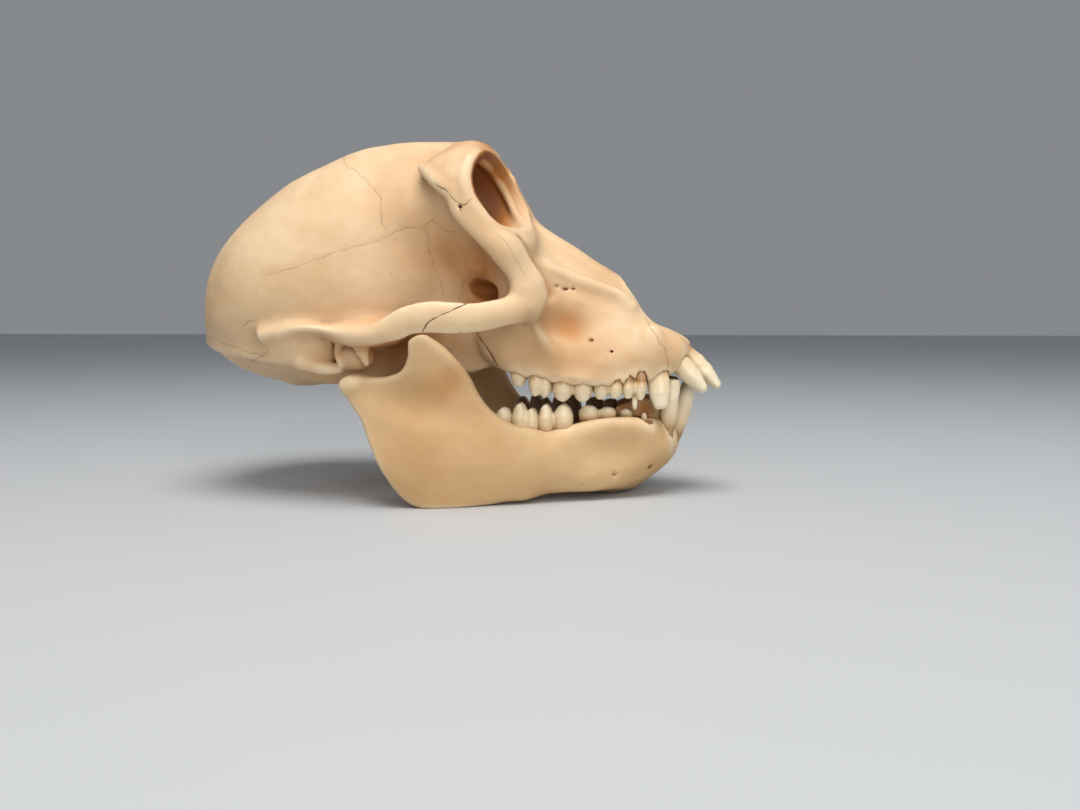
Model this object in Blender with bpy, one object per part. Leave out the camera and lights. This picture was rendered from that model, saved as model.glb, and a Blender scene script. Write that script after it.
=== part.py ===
"""Skull of a young baboon at life size, resting on its lower jaw with the teeth nearly closed.

Two bones: the cranium with the upper teeth, and the mandible with the lower teeth. X runs forward to the
incisors, Y to the skull's left and Z up. The origin is on the floor under the middle of the skull.
Sizes below are in millimetres, with x measured from MIDDLE_X behind that middle; the meshes are in metres.
"""

import math

import bmesh
import bpy
import numpy as np
import openvdb
from mathutils import Matrix, Vector

MM = 0.001
MIDDLE_X = 2.3      # x of the middle of the skull's length in the tables below
FAR = 12.0          # distance given to points well away from bone
GRID = 1.0          # spacing of the points at which the bone is worked out

# Braincase
BRAIN_CENTRE = (-30.0, 66.0)    # x, z of the middle of the vault
VAULT_WALL = 2.6                # thickness of the vault bone
FORAMEN_RADIUS = 7.5            # foramen magnum
# Outline of the vault in the midline, x and z, from the forehead backwards and under to the front
BRAIN_OUTLINE = (
    (7.0, 102.0), (-8.0, 103.9), (-21.5, 102.6), (-33.5, 98.6), (-45.5, 92.8), (-57.0, 84.6),
    (-67.0, 74.6), (-72.6, 64.0), (-74.2, 53.0), (-72.6, 44.0), (-64.0, 36.6), (-50.0, 32.4),
    (-36.0, 32.4), (-18.0, 37.5), (-3.0, 45.5), (6.0, 57.0), (10.0, 72.0), (11.0, 90.0),
)
# Half width of the vault at stations along x
BRAIN_WIDTHS = (
    (-80.0, 40.0), (-60.0, 39.8), (-42.0, 38.8), (-28.0, 37.2), (-14.0, 33.4), (-2.0, 28.6), (12.0, 25.5),
)

# Face: midline height of the nose, height of the tooth-bearing edge, and half widths between the two
NOSE_TOP = (
    (12.0, 99.0), (15.0, 96.0), (19.0, 88.0), (25.4, 80.4), (38.0, 71.8), (50.0, 64.2), (54.0, 61.0),
    (57.5, 55.5), (62.0, 51.0), (68.0, 47.0), (72.0, 44.5),
)
GUM_EDGE = (
    (14.0, 39.6), (20.0, 36.2), (31.0, 33.9), (40.0, 32.9), (51.0, 33.0), (59.0, 34.2), (64.0, 36.0),
    (68.0, 38.4), (72.0, 42.0),
)
FACE_LEVELS = (0.0, 0.06, 0.2, 0.38, 0.57, 0.74, 0.85, 0.94)     # from the tooth edge up to the nose
FACE_WIDTHS = {
    14.0: (18.5, 19.5, 21.5, 23.0, 22.0, 17.0, 8.0, 5.0),
    21.0: (22.6, 23.6, 25.2, 28.2, 30.0, 28.0, 13.0, 4.8),
    26.5: (23.2, 24.2, 24.4, 26.4, 27.6, 23.0, 12.6, 5.6),
    32.0: (23.4, 24.4, 23.4, 20.8, 18.8, 16.6, 11.6, 6.2),
    40.0: (23.0, 24.0, 21.6, 17.6, 15.2, 14.2, 10.6, 6.6),
    50.0: (21.2, 22.0, 20.2, 16.8, 14.2, 12.6, 9.6, 6.4),
    58.0: (18.8, 19.4, 18.4, 15.6, 13.2, 11.2, 9.6, 8.4),
    64.0: (14.6, 15.4, 15.4, 13.9, 12.2, 10.6, 9.4, 8.2),
    69.0: (8.6, 9.4, 10.2, 10.0, 9.4, 8.6, 7.6, 6.6),
}

# Sweeps: rows of x, y, z, half height, half thickness
ARCH = (
    (-46.0, 36.0, 47.2, 1.6, 2.0), (-36.0, 37.4, 48.2, 2.0, 2.6), (-25.0, 39.4, 48.0, 1.8, 3.2),
    (-20.0, 40.6, 47.3, 2.0, 2.8), (-15.6, 41.4, 47.4, 2.2, 2.5), (-11.8, 41.8, 48.1, 2.7, 2.2),
    (-7.8, 42.2, 49.5, 3.5, 2.0), (-4.0, 42.4, 51.2, 3.7, 1.9), (1.0, 42.2, 52.0, 4.0, 1.9),
    (7.0, 41.6, 51.9, 4.1, 1.9), (13.0, 40.2, 51.9, 3.8, 2.1), (19.2, 37.4, 53.0, 3.6, 2.6),
    (25.6, 32.0, 54.8, 3.8, 3.2),
)
CHEEK_BAR = (
    (3.6, 30.4, 93.0, 6.4, 2.4), (6.4, 33.0, 88.0, 4.4, 2.3), (8.5, 34.2, 84.0, 3.1, 2.2),
    (10.5, 34.8, 79.8, 3.0, 2.2), (15.9, 34.6, 74.0, 3.1, 2.2), (21.4, 33.2, 68.6, 3.5, 2.5),
    (25.4, 31.2, 62.6, 3.9, 2.9), (27.4, 28.8, 55.8, 4.0, 3.2),
)
BROW = (
    (7.4, 0.0, 98.4, 4.6, 6.8), (8.2, 10.0, 98.2, 4.4, 5.4), (7.8, 19.0, 97.2, 4.0, 4.6),
    (6.0, 26.0, 95.0, 3.6, 5.0), (2.4, 31.0, 91.8, 3.4, 6.2),
)
ORBIT = (
    (-6.0, 10.5, 79.5, 2.6, 2.6), (1.0, 13.4, 81.2, 6.6, 6.8), (6.5, 16.4, 83.0, 9.2, 11.2),
    (12.5, 18.6, 84.8, 10.4, 13.8), (19.0, 20.6, 86.6, 11.8, 15.8), (34.0, 25.0, 91.0, 14.0, 19.0),
)
ORBIT_WALL = 2.4
ORBIT_LOWER_RIM = (
    (20.6, 33.0, 70.4, 3.6, 2.8), (22.6, 27.0, 71.6, 3.6, 2.8), (24.2, 20.0, 73.4, 3.4, 2.6),
    (23.4, 12.0, 76.4, 3.0, 2.2), (20.4, 7.0, 82.0, 2.4, 1.6),
)

# Rounded lip around the eye socket
RIM = (
    (10.4, 31.4, 94.0, 1.5, 1.5), (9.2, 34.0, 88.6, 1.9, 1.9), (11.4, 34.8, 82.2, 1.9, 1.9),
    (16.6, 33.6, 76.0, 1.7, 1.7), (22.0, 27.4, 73.2, 1.5, 1.5), (24.0, 20.0, 73.8, 1.4, 1.4),
    (23.0, 12.4, 76.4, 1.3, 1.3), (19.6, 7.6, 82.0, 1.2, 1.2), (16.4, 6.4, 88.4, 1.2, 1.2),
    (13.4, 9.4, 93.8, 1.4, 1.4), (11.8, 17.0, 95.8, 1.5, 1.5), (11.2, 25.4, 96.0, 1.6, 1.6),
    (10.4, 31.4, 94.0, 1.5, 1.5),
)
# Sharp rear edge of the bar beside the eye socket
BAR_EDGE = (
    (-3.2, 28.8, 92.4, 1.0, 1.0), (-1.0, 31.8, 90.4, 1.1, 1.1), (2.0, 33.8, 87.6, 1.1, 1.1),
    (5.8, 34.8, 84.4, 1.1, 1.1), (7.0, 35.2, 80.8, 1.1, 1.1), (9.0, 35.4, 78.0, 1.1, 1.1),
    (14.2, 35.2, 73.0, 1.2, 1.2), (19.0, 34.6, 68.6, 1.2, 1.2), (22.4, 34.0, 64.2, 1.3, 1.3),
    (23.8, 33.6, 60.2, 1.4, 1.4),
)
# Ridge between the top and side of the muzzle
MUZZLE_RIDGE = (
    (30.4, 16.4, 65.6, 1.3, 1.3), (37.0, 14.4, 62.9, 1.4, 1.4), (43.6, 12.9, 60.6, 1.4, 1.4),
    (49.4, 11.3, 58.6, 1.3, 1.3), (52.8, 10.4, 55.4, 1.2, 1.2),
)
# Buttress from the cheek down to the first molar
CHEEK_ROOT = (
    (26.4, 30.6, 60.0, 2.4, 2.0), (28.4, 28.8, 54.5, 2.2, 2.0), (29.4, 26.2, 50.0, 2.0, 1.8),
    (30.4, 23.8, 45.4, 1.6, 1.5), (32.2, 22.0, 41.0, 1.0, 1.0),
)
# Groove below the eye socket
EYE_GROOVE = (
    (23.6, 29.4, 72.2, 1.4, 1.4), (26.6, 26.6, 67.4, 2.2, 2.2), (29.6, 22.8, 62.6, 2.6, 2.6),
    (31.6, 20.9, 59.0, 2.0, 2.0),
)
# Ridge around the back of the head, where the neck muscles began
NUCHAL_RIDGE = (
    (-75.0, 0.0, 46.0, 1.2, 1.2), (-71.6, 12.0, 45.2, 1.2, 1.2), (-64.4, 22.4, 43.8, 1.2, 1.2),
    (-55.4, 28.8, 42.4, 1.2, 1.2), (-46.0, 31.8, 41.2, 1.2, 1.2), (-36.0, 34.4, 40.4, 1.4, 1.4),
)
# Side outline of the wing plate behind the palate
PTERYGOID_OUTLINE = (
    (18.0, 62.0), (17.6, 41.0), (15.4, 38.8), (11.4, 37.0), (7.0, 35.8), (4.2, 37.4), (1.6, 41.0),
    (-2.0, 43.6), (-6.0, 46.5), (-9.0, 52.0), (-6.0, 60.0), (6.0, 66.0),
)

# Mandible: rows of x, y, z, half height, half thickness along the body, then the side outline of the ramus
JAW_BODY = (
    (-4.0, 32.6, 12.0, 9.2, 3.0), (6.0, 29.6, 11.4, 10.6, 3.9), (16.0, 26.0, 11.2, 10.2, 4.6),
    (26.0, 22.6, 10.6, 9.0, 4.9), (36.0, 19.4, 11.6, 9.7, 5.0), (45.0, 16.8, 13.0, 10.9, 5.1),
    (53.0, 12.6, 13.4, 11.0, 5.4), (57.4, 6.8, 12.9, 10.8, 5.8), (58.8, 0.0, 12.4, 11.2, 6.0),
)
RAMUS_OUTLINE = (
    (-24.4, 33.6), (-22.4, 29.6), (-19.0, 24.4), (-16.6, 18.0), (-13.8, 11.2), (-9.4, 4.4), (-3.4, 0.4),
    (4.0, -0.8), (12.0, 0.2), (19.0, 1.6), (26.0, 4.0), (27.0, 18.6), (21.0, 21.6), (16.2, 26.0),
    (12.4, 31.2), (9.4, 37.2), (4.6, 42.8), (0.6, 46.2), (-2.4, 47.4), (-5.6, 45.6), (-5.9, 41.4),
    (-7.8, 37.6), (-12.0, 36.0), (-18.4, 35.8), (-22.0, 35.4),
)
RAMUS_HALF_THICKNESS = 2.6

# Cross ridges of the cheek teeth, back to front: x, y, gum z, tip z, half length, half width
UPPER_MOLARS = (
    (22.2, 19.0, 37.4, 32.2, 2.4, 3.6), (27.0, 19.5, 36.0, 29.5, 2.2, 4.2),
    (29.6, 19.4, 35.6, 29.1, 2.0, 4.1), (34.6, 19.0, 34.8, 28.0, 3.0, 4.2),
    (40.2, 18.6, 34.2, 27.9, 2.8, 4.1), (45.3, 17.7, 34.0, 28.6, 2.2, 3.5),
    (49.3, 17.1, 34.0, 28.8, 2.1, 3.4), (52.9, 16.1, 34.2, 28.6, 1.8, 2.8),
    (56.4, 15.3, 34.6, 28.2, 1.8, 2.6),
)
LOWER_MOLARS = (
    (18.0, 21.0, 21.0, 27.0, 2.4, 3.5), (22.6, 20.4, 18.8, 28.4, 2.4, 3.9),
    (25.8, 19.9, 19.2, 26.8, 2.3, 3.8), (29.8, 19.2, 19.6, 28.0, 2.2, 3.8),
    (34.7, 18.3, 20.6, 28.0, 2.8, 3.8), (41.8, 16.2, 23.0, 27.2, 2.9, 2.4),
    (47.0, 15.0, 23.8, 26.8, 2.5, 2.2), (52.2, 12.8, 23.6, 26.2, 1.9, 1.7),
)
# Front teeth: root x, y, z, tip x, y, z, half width across, half depth, half width of the edge
UPPER_FRONT = (
    ((60.6, 11.2, 42.4), (62.2, 14.9, 25.8), 2.6, 3.2, 1.1),
    ((54.9, 14.6, 33.0), (54.8, 16.0, 25.6), 0.9, 0.9, 0.4),
    ((61.2, 8.0, 45.8), (75.0, 8.8, 30.7), 2.7, 2.8, 1.7),
    ((64.2, 3.6, 46.8), (79.4, 3.8, 31.7), 3.2, 2.6, 2.9),
)
LOWER_FRONT = (
    ((63.4, 7.6, 13.0), (65.9, 8.9, 34.2), 2.5, 2.5, 1.8),
    ((64.2, 2.9, 11.0), (71.0, 2.9, 33.0), 2.6, 2.7, 2.3),
)

TOOTH_SIDES = 8
ROOT_DEPTH = 4.0         # how far the cheek teeth are sunk into the bone
TOOTH_SQUARE = 0.75      # below 1 the cheek teeth are squarer in section
CRANIUM_TRIANGLES = 7000
MANDIBLE_TRIANGLES = 3600


def blend_min(a, b, k):
    """Union of two distances, rounded over k."""
    h = np.clip(0.5 + 0.5 * (b - a) / k, 0.0, 1.0)
    return b + (a - b) * h - k * h * (1.0 - h)


def blend_max(a, b, k):
    return -blend_min(-a, -b, k)


def smooth_through(points, per=5, closed=False):
    """Points on a smooth curve through the given rows, per steps from each row to the next."""
    rows = np.array(points, float)
    count = len(rows)
    out = []
    for i in range(count if closed else count - 1):
        if closed:
            a, b, c, d = (rows[(i + n) % count] for n in (-1, 0, 1, 2))
        else:
            b, c = rows[i], rows[i + 1]
            a = rows[i - 1] if i else 2.0 * b - c
            d = rows[i + 2] if i + 2 < count else 2.0 * c - b
        for t in np.arange(per) / per:
            out.append(0.5 * (2 * b + (c - a) * t + (2 * a - 5 * b + 4 * c - d) * t**2
                              + (3 * b - a - 3 * c + d) * t**3))
    if not closed:
        out.append(rows[-1])
    return np.array(out)


def along(stations, x):
    """Value at x on a smooth curve through rows of x and value."""
    curve = smooth_through(stations, 6)
    order = np.argsort(curve[:, 0])
    return np.interp(x, curve[order, 0], curve[order, 1])


def ellipsoid(centre, radii, turn=(0.0, 0.0, 0.0)):
    """Distance to an ellipsoid whose axes are turned by angles in degrees about x, y and z."""
    spin = np.eye(3)
    for axis, angle in zip("XYZ", turn):
        spin = np.array(Matrix.Rotation(math.radians(angle), 3, axis)) @ spin

    def distance(x, y, z):
        p = (x - centre[0], y - centre[1], z - centre[2])
        q = [sum(spin[j][i] * p[j] for j in range(3)) for i in range(3)]
        k0 = np.sqrt(sum((q[i] / radii[i]) ** 2 for i in range(3))) + 1e-6
        k1 = np.sqrt(sum((q[i] / radii[i] ** 2) ** 2 for i in range(3))) + 1e-6
        return k0 * (k0 - 1.0) / k1

    reach = max(radii)
    low = [c - reach for c in centre]
    high = [c + reach for c in centre]
    return distance, low, high


def sweep(rows, thin=(0.0, 1.0, 0.0), grow=0.0, per=5, upright=None):
    """Distance to an oval section carried along rows of x, y, z, half height, half thickness."""
    line = smooth_through(rows, per)
    line[:, 3:5] += grow
    thin = np.array(thin, float)

    def distance(x, y, z):
        shape = np.broadcast_shapes(x.shape, y.shape, z.shape)
        nearest = np.full(shape, 1e9, np.float32)
        place = np.zeros(shape, np.float32)
        for i in range(len(line) - 1):
            a, d = line[i, :3], line[i + 1, :3] - line[i, :3]
            dx, dy, dz = x - a[0], y - a[1], z - a[2]
            t = np.clip((dx * d[0] + dy * d[1] + dz * d[2]) / (d @ d), 0.0, 1.0)
            away = (dx - t * d[0]) ** 2 + (dy - t * d[1]) ** 2 + (dz - t * d[2]) ** 2
            closer = away < nearest
            nearest = np.where(closer, away, nearest)
            place = np.where(closer, i + t, place)
        steps = np.arange(len(line))
        tangent = np.gradient(line[:, :3], axis=0)
        tangent /= np.linalg.norm(tangent, axis=1)[:, None]
        flat = thin - (tangent @ thin)[:, None] * tangent if upright is None else np.cross(upright, tangent)
        flat /= np.linalg.norm(flat, axis=1)[:, None]
        tall = np.cross(tangent, flat)

        def at(column):
            return np.interp(place, steps, column).astype(np.float32)

        p = [x - at(line[:, 0]), y - at(line[:, 1]), z - at(line[:, 2])]
        across = sum(p[i] * at(flat[:, i]) for i in range(3))
        up = sum(p[i] * at(tall[:, i]) for i in range(3))
        past = sum(p[i] * at(tangent[:, i]) for i in range(3))
        half_up, half_across = at(line[:, 3]), at(line[:, 4])
        half_past = np.minimum(half_up, half_across)
        k0 = np.sqrt((up / half_up) ** 2 + (across / half_across) ** 2 + (past / half_past) ** 2) + 1e-6
        k1 = np.sqrt((up / half_up**2) ** 2 + (across / half_across**2) ** 2
                     + (past / half_past**2) ** 2) + 1e-6
        return k0 * (k0 - 1.0) / k1

    reach = line[:, 3:5].max(axis=1)[:, None]
    return distance, (line[:, :3] - reach).min(axis=0), (line[:, :3] + reach).max(axis=0)


def outline_distance(points, x, z):
    """Distance in the side view to a closed smooth outline, negative inside."""
    loop = smooth_through(points, 6, closed=True)
    nearest = np.full(np.broadcast_shapes(x.shape, z.shape), 1e9)
    inside = np.zeros(nearest.shape, bool)
    for a, b in zip(loop, np.roll(loop, -1, axis=0)):
        d = b - a
        t = np.clip(((x - a[0]) * d[0] + (z - a[1]) * d[1]) / (d @ d), 0.0, 1.0)
        nearest = np.minimum(nearest, np.hypot(x - a[0] - t * d[0], z - a[1] - t * d[1]))
        if a[1] != b[1]:
            crosses = (z < a[1]) != (z < b[1])
            inside ^= crosses & (x < a[0] + (z - a[1]) / (b[1] - a[1]) * d[0])
    return np.where(inside, -nearest, nearest)


class Field:
    """Distances to the bone surface on half a grid (y from 0), negative inside the bone."""

    def __init__(self, low, high, step):
        self.low, self.step = np.array(low, float), step
        self.counts = [int(round((b - a) / step)) + 1 for a, b in zip(low, high)]
        self.values = np.full(self.counts, FAR, np.float32)

    def block(self, low, high, margin):
        cuts, axes = [], []
        for i in range(3):
            first = max(0, int((low[i] - margin - self.low[i]) / self.step))
            last = min(self.counts[i], int((high[i] + margin - self.low[i]) / self.step) + 2)
            cuts.append(slice(first, max(first + 1, last)))
            axis = self.low[i] + self.step * np.arange(first, max(first + 1, last))
            shape = [1, 1, 1]
            shape[i] = -1
            axes.append(axis.astype(np.float32).reshape(shape))
        return tuple(cuts), axes

    def add(self, shape, blend=2.0):
        distance, low, high = shape
        cuts, axes = self.block(low, high, 2.0 * blend + 2.0)
        self.values[cuts] = blend_min(self.values[cuts], distance(*axes), blend)

    def cut(self, shape, blend=1.0):
        distance, low, high = shape
        cuts, axes = self.block(low, high, 2.0 * blend + 2.0)
        self.values[cuts] = blend_max(self.values[cuts], -distance(*axes), blend)

    def mesh(self, name):
        """The surface of both halves as a mesh in metres."""
        whole = np.concatenate([self.values[:, :0:-1], self.values], axis=1)
        grid = openvdb.FloatGrid(FAR)
        grid.copyFromArray(np.ascontiguousarray(whole))
        points, quads = grid.convertToQuads(0.0)
        start = np.array([self.low[0], -self.step * (self.counts[1] - 1), self.low[2]])
        points = (points * self.step + start) * MM
        mesh = bpy.data.meshes.new(name)
        mesh.from_pydata(points.tolist(), [], quads[:, ::-1].tolist())
        return mesh


def settle(function):
    """Scales a function that is zero on a surface so that it is close to a distance there."""

    def distance(x, y, z):
        value = function(x, y, z)
        steps = [float(np.diff(axis.ravel())[0]) for axis in (x, y, z)]
        slopes = np.gradient(value, *steps)
        return value / np.maximum(np.sqrt(sum(s**2 for s in slopes)), 1e-3)

    return distance


def vault(x, y, z):
    """Braincase: the midline outline, bulging to the side widths."""
    loop = smooth_through(BRAIN_OUTLINE, 6, closed=True) - np.array(BRAIN_CENTRE)
    angles = np.arctan2(loop[:, 1], loop[:, 0])
    order = np.argsort(angles)
    dx, dz = x - BRAIN_CENTRE[0], z - BRAIN_CENTRE[1]
    radius = np.interp(np.arctan2(dz, dx), angles[order], np.hypot(loop[:, 0], loop[:, 1])[order],
                       period=2.0 * math.pi)
    width = along(BRAIN_WIDTHS, x) * (1.0 + 0.07 * np.clip((62.0 - z) / 24.0, -1.0, 1.0))
    power = 2.25
    return (np.hypot(dx, dz) / radius) ** power + (y / width) ** power - 1.0


def face(x, y, z):
    """Muzzle and cheek: side walls read from the width stations, under the line of the nose."""
    top, gum = along(NOSE_TOP, x), along(GUM_EDGE, x)
    level = np.clip((z - gum) / (top - gum), -0.2, 1.2)
    stations = sorted(FACE_WIDTHS)
    columns = [along([(s, FACE_WIDTHS[s][i]) for s in stations], x) for i in range(len(FACE_LEVELS))]
    width = np.zeros(np.broadcast_shapes(x.shape, z.shape))
    marks = FACE_LEVELS
    for i in range(len(marks) - 1):
        part = np.clip((level - marks[i]) / (marks[i + 1] - marks[i]), 0.0, 1.0)
        if i == 0:
            width = columns[0] + np.zeros_like(level)
        width = width + (columns[i + 1] - columns[i]) * part
    walls = y - width
    roof = z - top + np.minimum(y, 6.5) ** 2 / 22.0
    floor = gum - z
    front = x - 70.6 + y**2 / 20.0
    body = blend_max(walls, roof, 3.0)
    body = blend_max(body, floor, 1.5)
    body = blend_max(body, front, 2.0)
    return blend_max(body, 15.0 - x + np.maximum(0.0, z - 60.0) * 0.1, 3.0)


def soft_ramp(t, bend=4.0):
    """Nearly t where it is positive and nearly 0 where it is negative."""
    return 0.5 * (t + np.sqrt(t * t + bend * bend)) - 0.5 * bend


def slab(outline, middle, half):
    """Distance to a flat plate with the given side outline; middle and half give its y and half thickness."""

    def distance(x, y, z):
        return blend_max(outline_distance(outline, x, z), np.abs(y - middle(x, z)) - half(x, z), 2.0)

    return distance


def cranium_field(step):
    low, high = (-84.0, 0.0, 22.0), (84.0, 48.0, 110.0)
    bone = Field(low, high, step)
    box = (low, (20.0, 48.0, 108.0))
    bone.add((settle(vault), *box), 1.0)
    bone.add((settle(face), (8.0, 0.0, 28.0), (78.0, 34.0, 104.0)), 4.0)
    bone.add(sweep(BROW, (1.0, 0.2, 0.0)), 4.0)
    bone.add(sweep(ORBIT[:4], (0.0, 1.0, 0.0), ORBIT_WALL), 5.0)
    # Wall between the eye socket and the temporal gap
    bone.add(ellipsoid((8.0, 11.0, 73.0), (9.0, 16.0, 17.0), (0.0, 0.0, -25.0)), 7.0)
    bone.add(sweep(CHEEK_BAR, (0.25, 1.0, 0.1)), 3.0)
    bone.add(sweep(BAR_EDGE), 2.2)
    bone.add(sweep(ARCH, (0.0, 1.0, 0.0)), 4.0)
    bone.add(sweep(ORBIT_LOWER_RIM, (1.0, 0.0, 0.6)), 4.0)
    bone.add(sweep(MUZZLE_RIDGE), 3.0)
    bone.add(ellipsoid((12.0, 0.0, 66.0), (13.0, 12.5, 25.0)), 4.0)
    # Underside: the base, ear bulb, mastoid, jaw socket and the knobs beside the great hole
    bone.add(sweep(((-46.0, 0.0, 38.0, 4.5, 11.0), (-20.0, 0.0, 40.0, 4.5, 9.0),
                    (8.0, 0.0, 46.0, 5.0, 8.0))), 4.0)
    bone.add(ellipsoid((-37.0, 26.0, 43.0), (14.0, 9.5, 6.6), (12.0, 0.0, 0.0)), 4.0)
    bone.add(ellipsoid((-32.0, 20.0, 39.6), (10.0, 8.0, 6.4)), 4.0)
    bone.add(ellipsoid((-17.5, 31.0, 47.4), (10.0, 10.5, 4.0)), 4.0)
    bone.add(ellipsoid((-44.5, 9.0, 35.2), (6.0, 3.6, 3.2), (0.0, 0.0, -20.0)), 2.0)
    bone.add(sweep(((-30.0, 23.0, 39.0, 4.6, 5.6), (-20.0, 15.0, 38.6, 4.6, 5.0), (-9.0, 7.0, 41.0, 4.0, 4.6)),
                   (0.0, 1.0, 0.0)), 3.0)
    bone.add(sweep(NUCHAL_RIDGE), 3.0)
    # Maxilla behind the last tooth, and the wing plate that it leans on
    bone.add(ellipsoid((17.0, 17.6, 47.0), (7.0, 4.6, 9.0)), 3.0)
    wing = slab(PTERYGOID_OUTLINE, lambda x, z: 14.6 + 0.04 * (z - 36.0) + 0.0 * x,
                lambda x, z: 1.3 + 0.05 * (z - 36.0) + 0.0 * x)
    bone.add((wing, (-5.0, 10.0, 32.0), (20.0, 22.0, 70.0)), 2.5)
    bone.add(ellipsoid((-16.0, 0.0, 52.0), (24.0, 22.0, 9.0)), 5.0)
    # Sockets of the canine and the first front tooth
    bone.add(ellipsoid((59.2, 13.0, 42.0), (4.8, 4.2, 8.0), (0.0, 0.0, -20.0)), 3.0)
    bone.add(ellipsoid((65.2, 4.8, 43.8), (5.6, 5.6, 3.4), (0.0, 42.0, 0.0)), 4.0)
    bone.add(sweep(CHEEK_ROOT), 5.0)
    # Hollows of the cheek and muzzle
    bone.cut(ellipsoid((21.6, 32.4, 42.6), (7.4, 8.6, 6.6)), 2.5)
    bone.cut(ellipsoid((41.0, 25.4, 51.6), (12.0, 9.6, 7.6)), 3.0)
    bone.cut(sweep(EYE_GROOVE), 2.0)
    bone.cut(ellipsoid((13.6, 21.0, 60.4), (5.0, 6.0, 4.4)), 2.0)
    # Ear: tube, hole, the spike in front and the hollow above
    bone.cut(ellipsoid((-33.0, 42.0, 45.0), (8.0, 5.4, 3.6)), 2.0)
    bone.add(ellipsoid((-21.4, 31.8, 41.6), (5.0, 4.0, 4.3)), 1.0)
    bone.add(sweep(((-36.0, 33.4, 39.6, 1.8, 2.0), (-30.0, 33.6, 38.2, 1.9, 2.0),
                    (-26.0, 33.2, 37.8, 1.2, 1.4))), 2.5)
    bone.cut(sweep(((-27.6, 42.0, 42.6, 3.2, 1.2), (-26.8, 34.0, 42.4, 2.8, 1.0), (-25.4, 28.0, 42.0, 1.4, 0.8)),
                   (1.0, 0.0, 0.0)), 0.6)
    bone.add(sweep(((-25.0, 34.8, 45.4, 0.7, 0.8), (-25.8, 35.2, 42.4, 0.8, 0.9),
                    (-24.8, 34.6, 39.2, 0.7, 0.8))), 1.2)
    bone.add(sweep(((-18.9, 36.6, 46.6, 2.9, 1.3), (-18.2, 37.0, 43.2, 2.0, 1.1), (-17.0, 37.2, 39.6, 0.7, 0.7)),
                   (0.0, 1.0, 0.0)), 0.7)
    # Eye socket, nose, palate
    bone.cut(sweep(ORBIT, (0.0, 1.0, 0.0)), 1.4)
    bone.add(sweep(RIM), 1.4)
    bone.cut(ellipsoid((60.6, 0.0, 54.6), (13.5, 7.4, 6.6), (0.0, 41.0, 0.0)), 1.2)
    bone.cut(sweep(((40.0, 0.0, 53.0, 6.0, 5.0), (50.0, 0.0, 53.0, 6.5, 5.6), (58.0, 0.0, 53.0, 6.5, 6.0))), 1.5)
    bone.cut(sweep(((-2.0, 0.0, 36.0, 6.0, 8.0), (12.0, 0.0, 37.0, 6.5, 10.5), (26.0, 0.0, 36.0, 6.0, 12.4),
                    (44.0, 0.0, 35.6, 6.0, 11.8), (57.0, 0.0, 35.6, 4.5, 8.5)), (0.0, 1.0, 0.0)), 2.0)
    cavity = Field(low, high, step)
    cavity.add((lambda x, y, z: settle(vault)(x, y, z) + VAULT_WALL, *box), 0.5)
    cavity.cut(((lambda x, y, z: 3.0 - x + 0.0 * y + 0.0 * z), (1.0, 0.0, 22.0), high), 1.0)
    cavity.cut(((lambda x, y, z: z - 41.0 - np.clip(x + 50.0, 0.0, 60.0) * 0.12 + 0.0 * y),
                low, (84.0, 48.0, 60.0)), 3.0)
    cavity.add(ellipsoid((-56.0, 0.0, 38.0), (FORAMEN_RADIUS, FORAMEN_RADIUS, 14.0), (0.0, 30.0, 0.0)), 2.0)
    bone.values = blend_max(bone.values, -cavity.values, 1.0)
    return bone


def mandible_field(step):
    bone = Field((-30.0, 0.0, -6.0), (78.0, 48.0, 52.0), step)
    ramus = slab(RAMUS_OUTLINE,
                 lambda x, z: 34.4 - 0.36 * soft_ramp(x) - 0.16 * soft_ramp(12.0 - z),
                 lambda x, z: (RAMUS_HALF_THICKNESS + 0.9 * np.exp(-((z - 12.0) / 9.0) ** 2)
                               - 0.12 * soft_ramp(x - 10.0)))
    bone.add((ramus, (-28.0, 18.0, -4.0), (30.0, 42.0, 50.0)), 2.0)
    bone.add(sweep(JAW_BODY, upright=(0.65, 0.0, 1.0)), 6.0)
    bone.add(sweep(((-21.4, 37.6, 34.0, 1.5, 2.2), (-20.8, 33.0, 34.0, 2.0, 2.8), (-20.0, 27.5, 33.4, 2.0, 2.4)),
                   (1.0, 0.0, 0.0)), 3.0)
    bone.add(ellipsoid((46.0, 0.0, 4.4), (9.0, 10.0, 5.0)), 5.0)
    bone.add(ellipsoid((61.4, 0.0, 14.6), (5.4, 11.5, 7.0), (0.0, 30.0, 0.0)), 4.0)
    # Hollows where the chewing muscle lay, beside the front teeth and inside the jaw
    bone.cut(ellipsoid((-4.0, 41.8, 30.0), (15.0, 5.8, 7.0), (0.0, 12.0, 0.0)), 2.5)
    bone.cut(ellipsoid((51.0, 27.2, 14.6), (14.0, 10.2, 9.0), (0.0, 0.0, -25.0)), 4.0)
    bone.cut(ellipsoid((57.6, 13.2, 23.6), (2.4, 2.0, 5.0)), 0.8)
    # Inner wall of the empty sockets behind the front teeth
    bone.add(sweep(((50.0, 11.0, 24.6, 2.0, 0.9), (55.0, 9.4, 25.8, 2.6, 0.9), (62.0, 6.6, 26.0, 2.8, 0.9)),
                   (0.0, 1.0, 0.0)), 1.5)
    return bone


def reduce_to(obj, triangles):
    """Fewer triangles, keeping the shape."""
    count = sum(len(face.vertices) - 2 for face in obj.data.polygons)
    thin = obj.modifiers.new("thin", "DECIMATE")
    thin.ratio = min(1.0, triangles / count)
    apply_modifiers(obj)


def apply_modifiers(obj):
    graph = bpy.context.evaluated_depsgraph_get()
    mesh = bpy.data.meshes.new_from_object(obj.evaluated_get(graph))
    obj.modifiers.clear()
    old, obj.data = obj.data, mesh
    bpy.data.meshes.remove(old)


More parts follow.
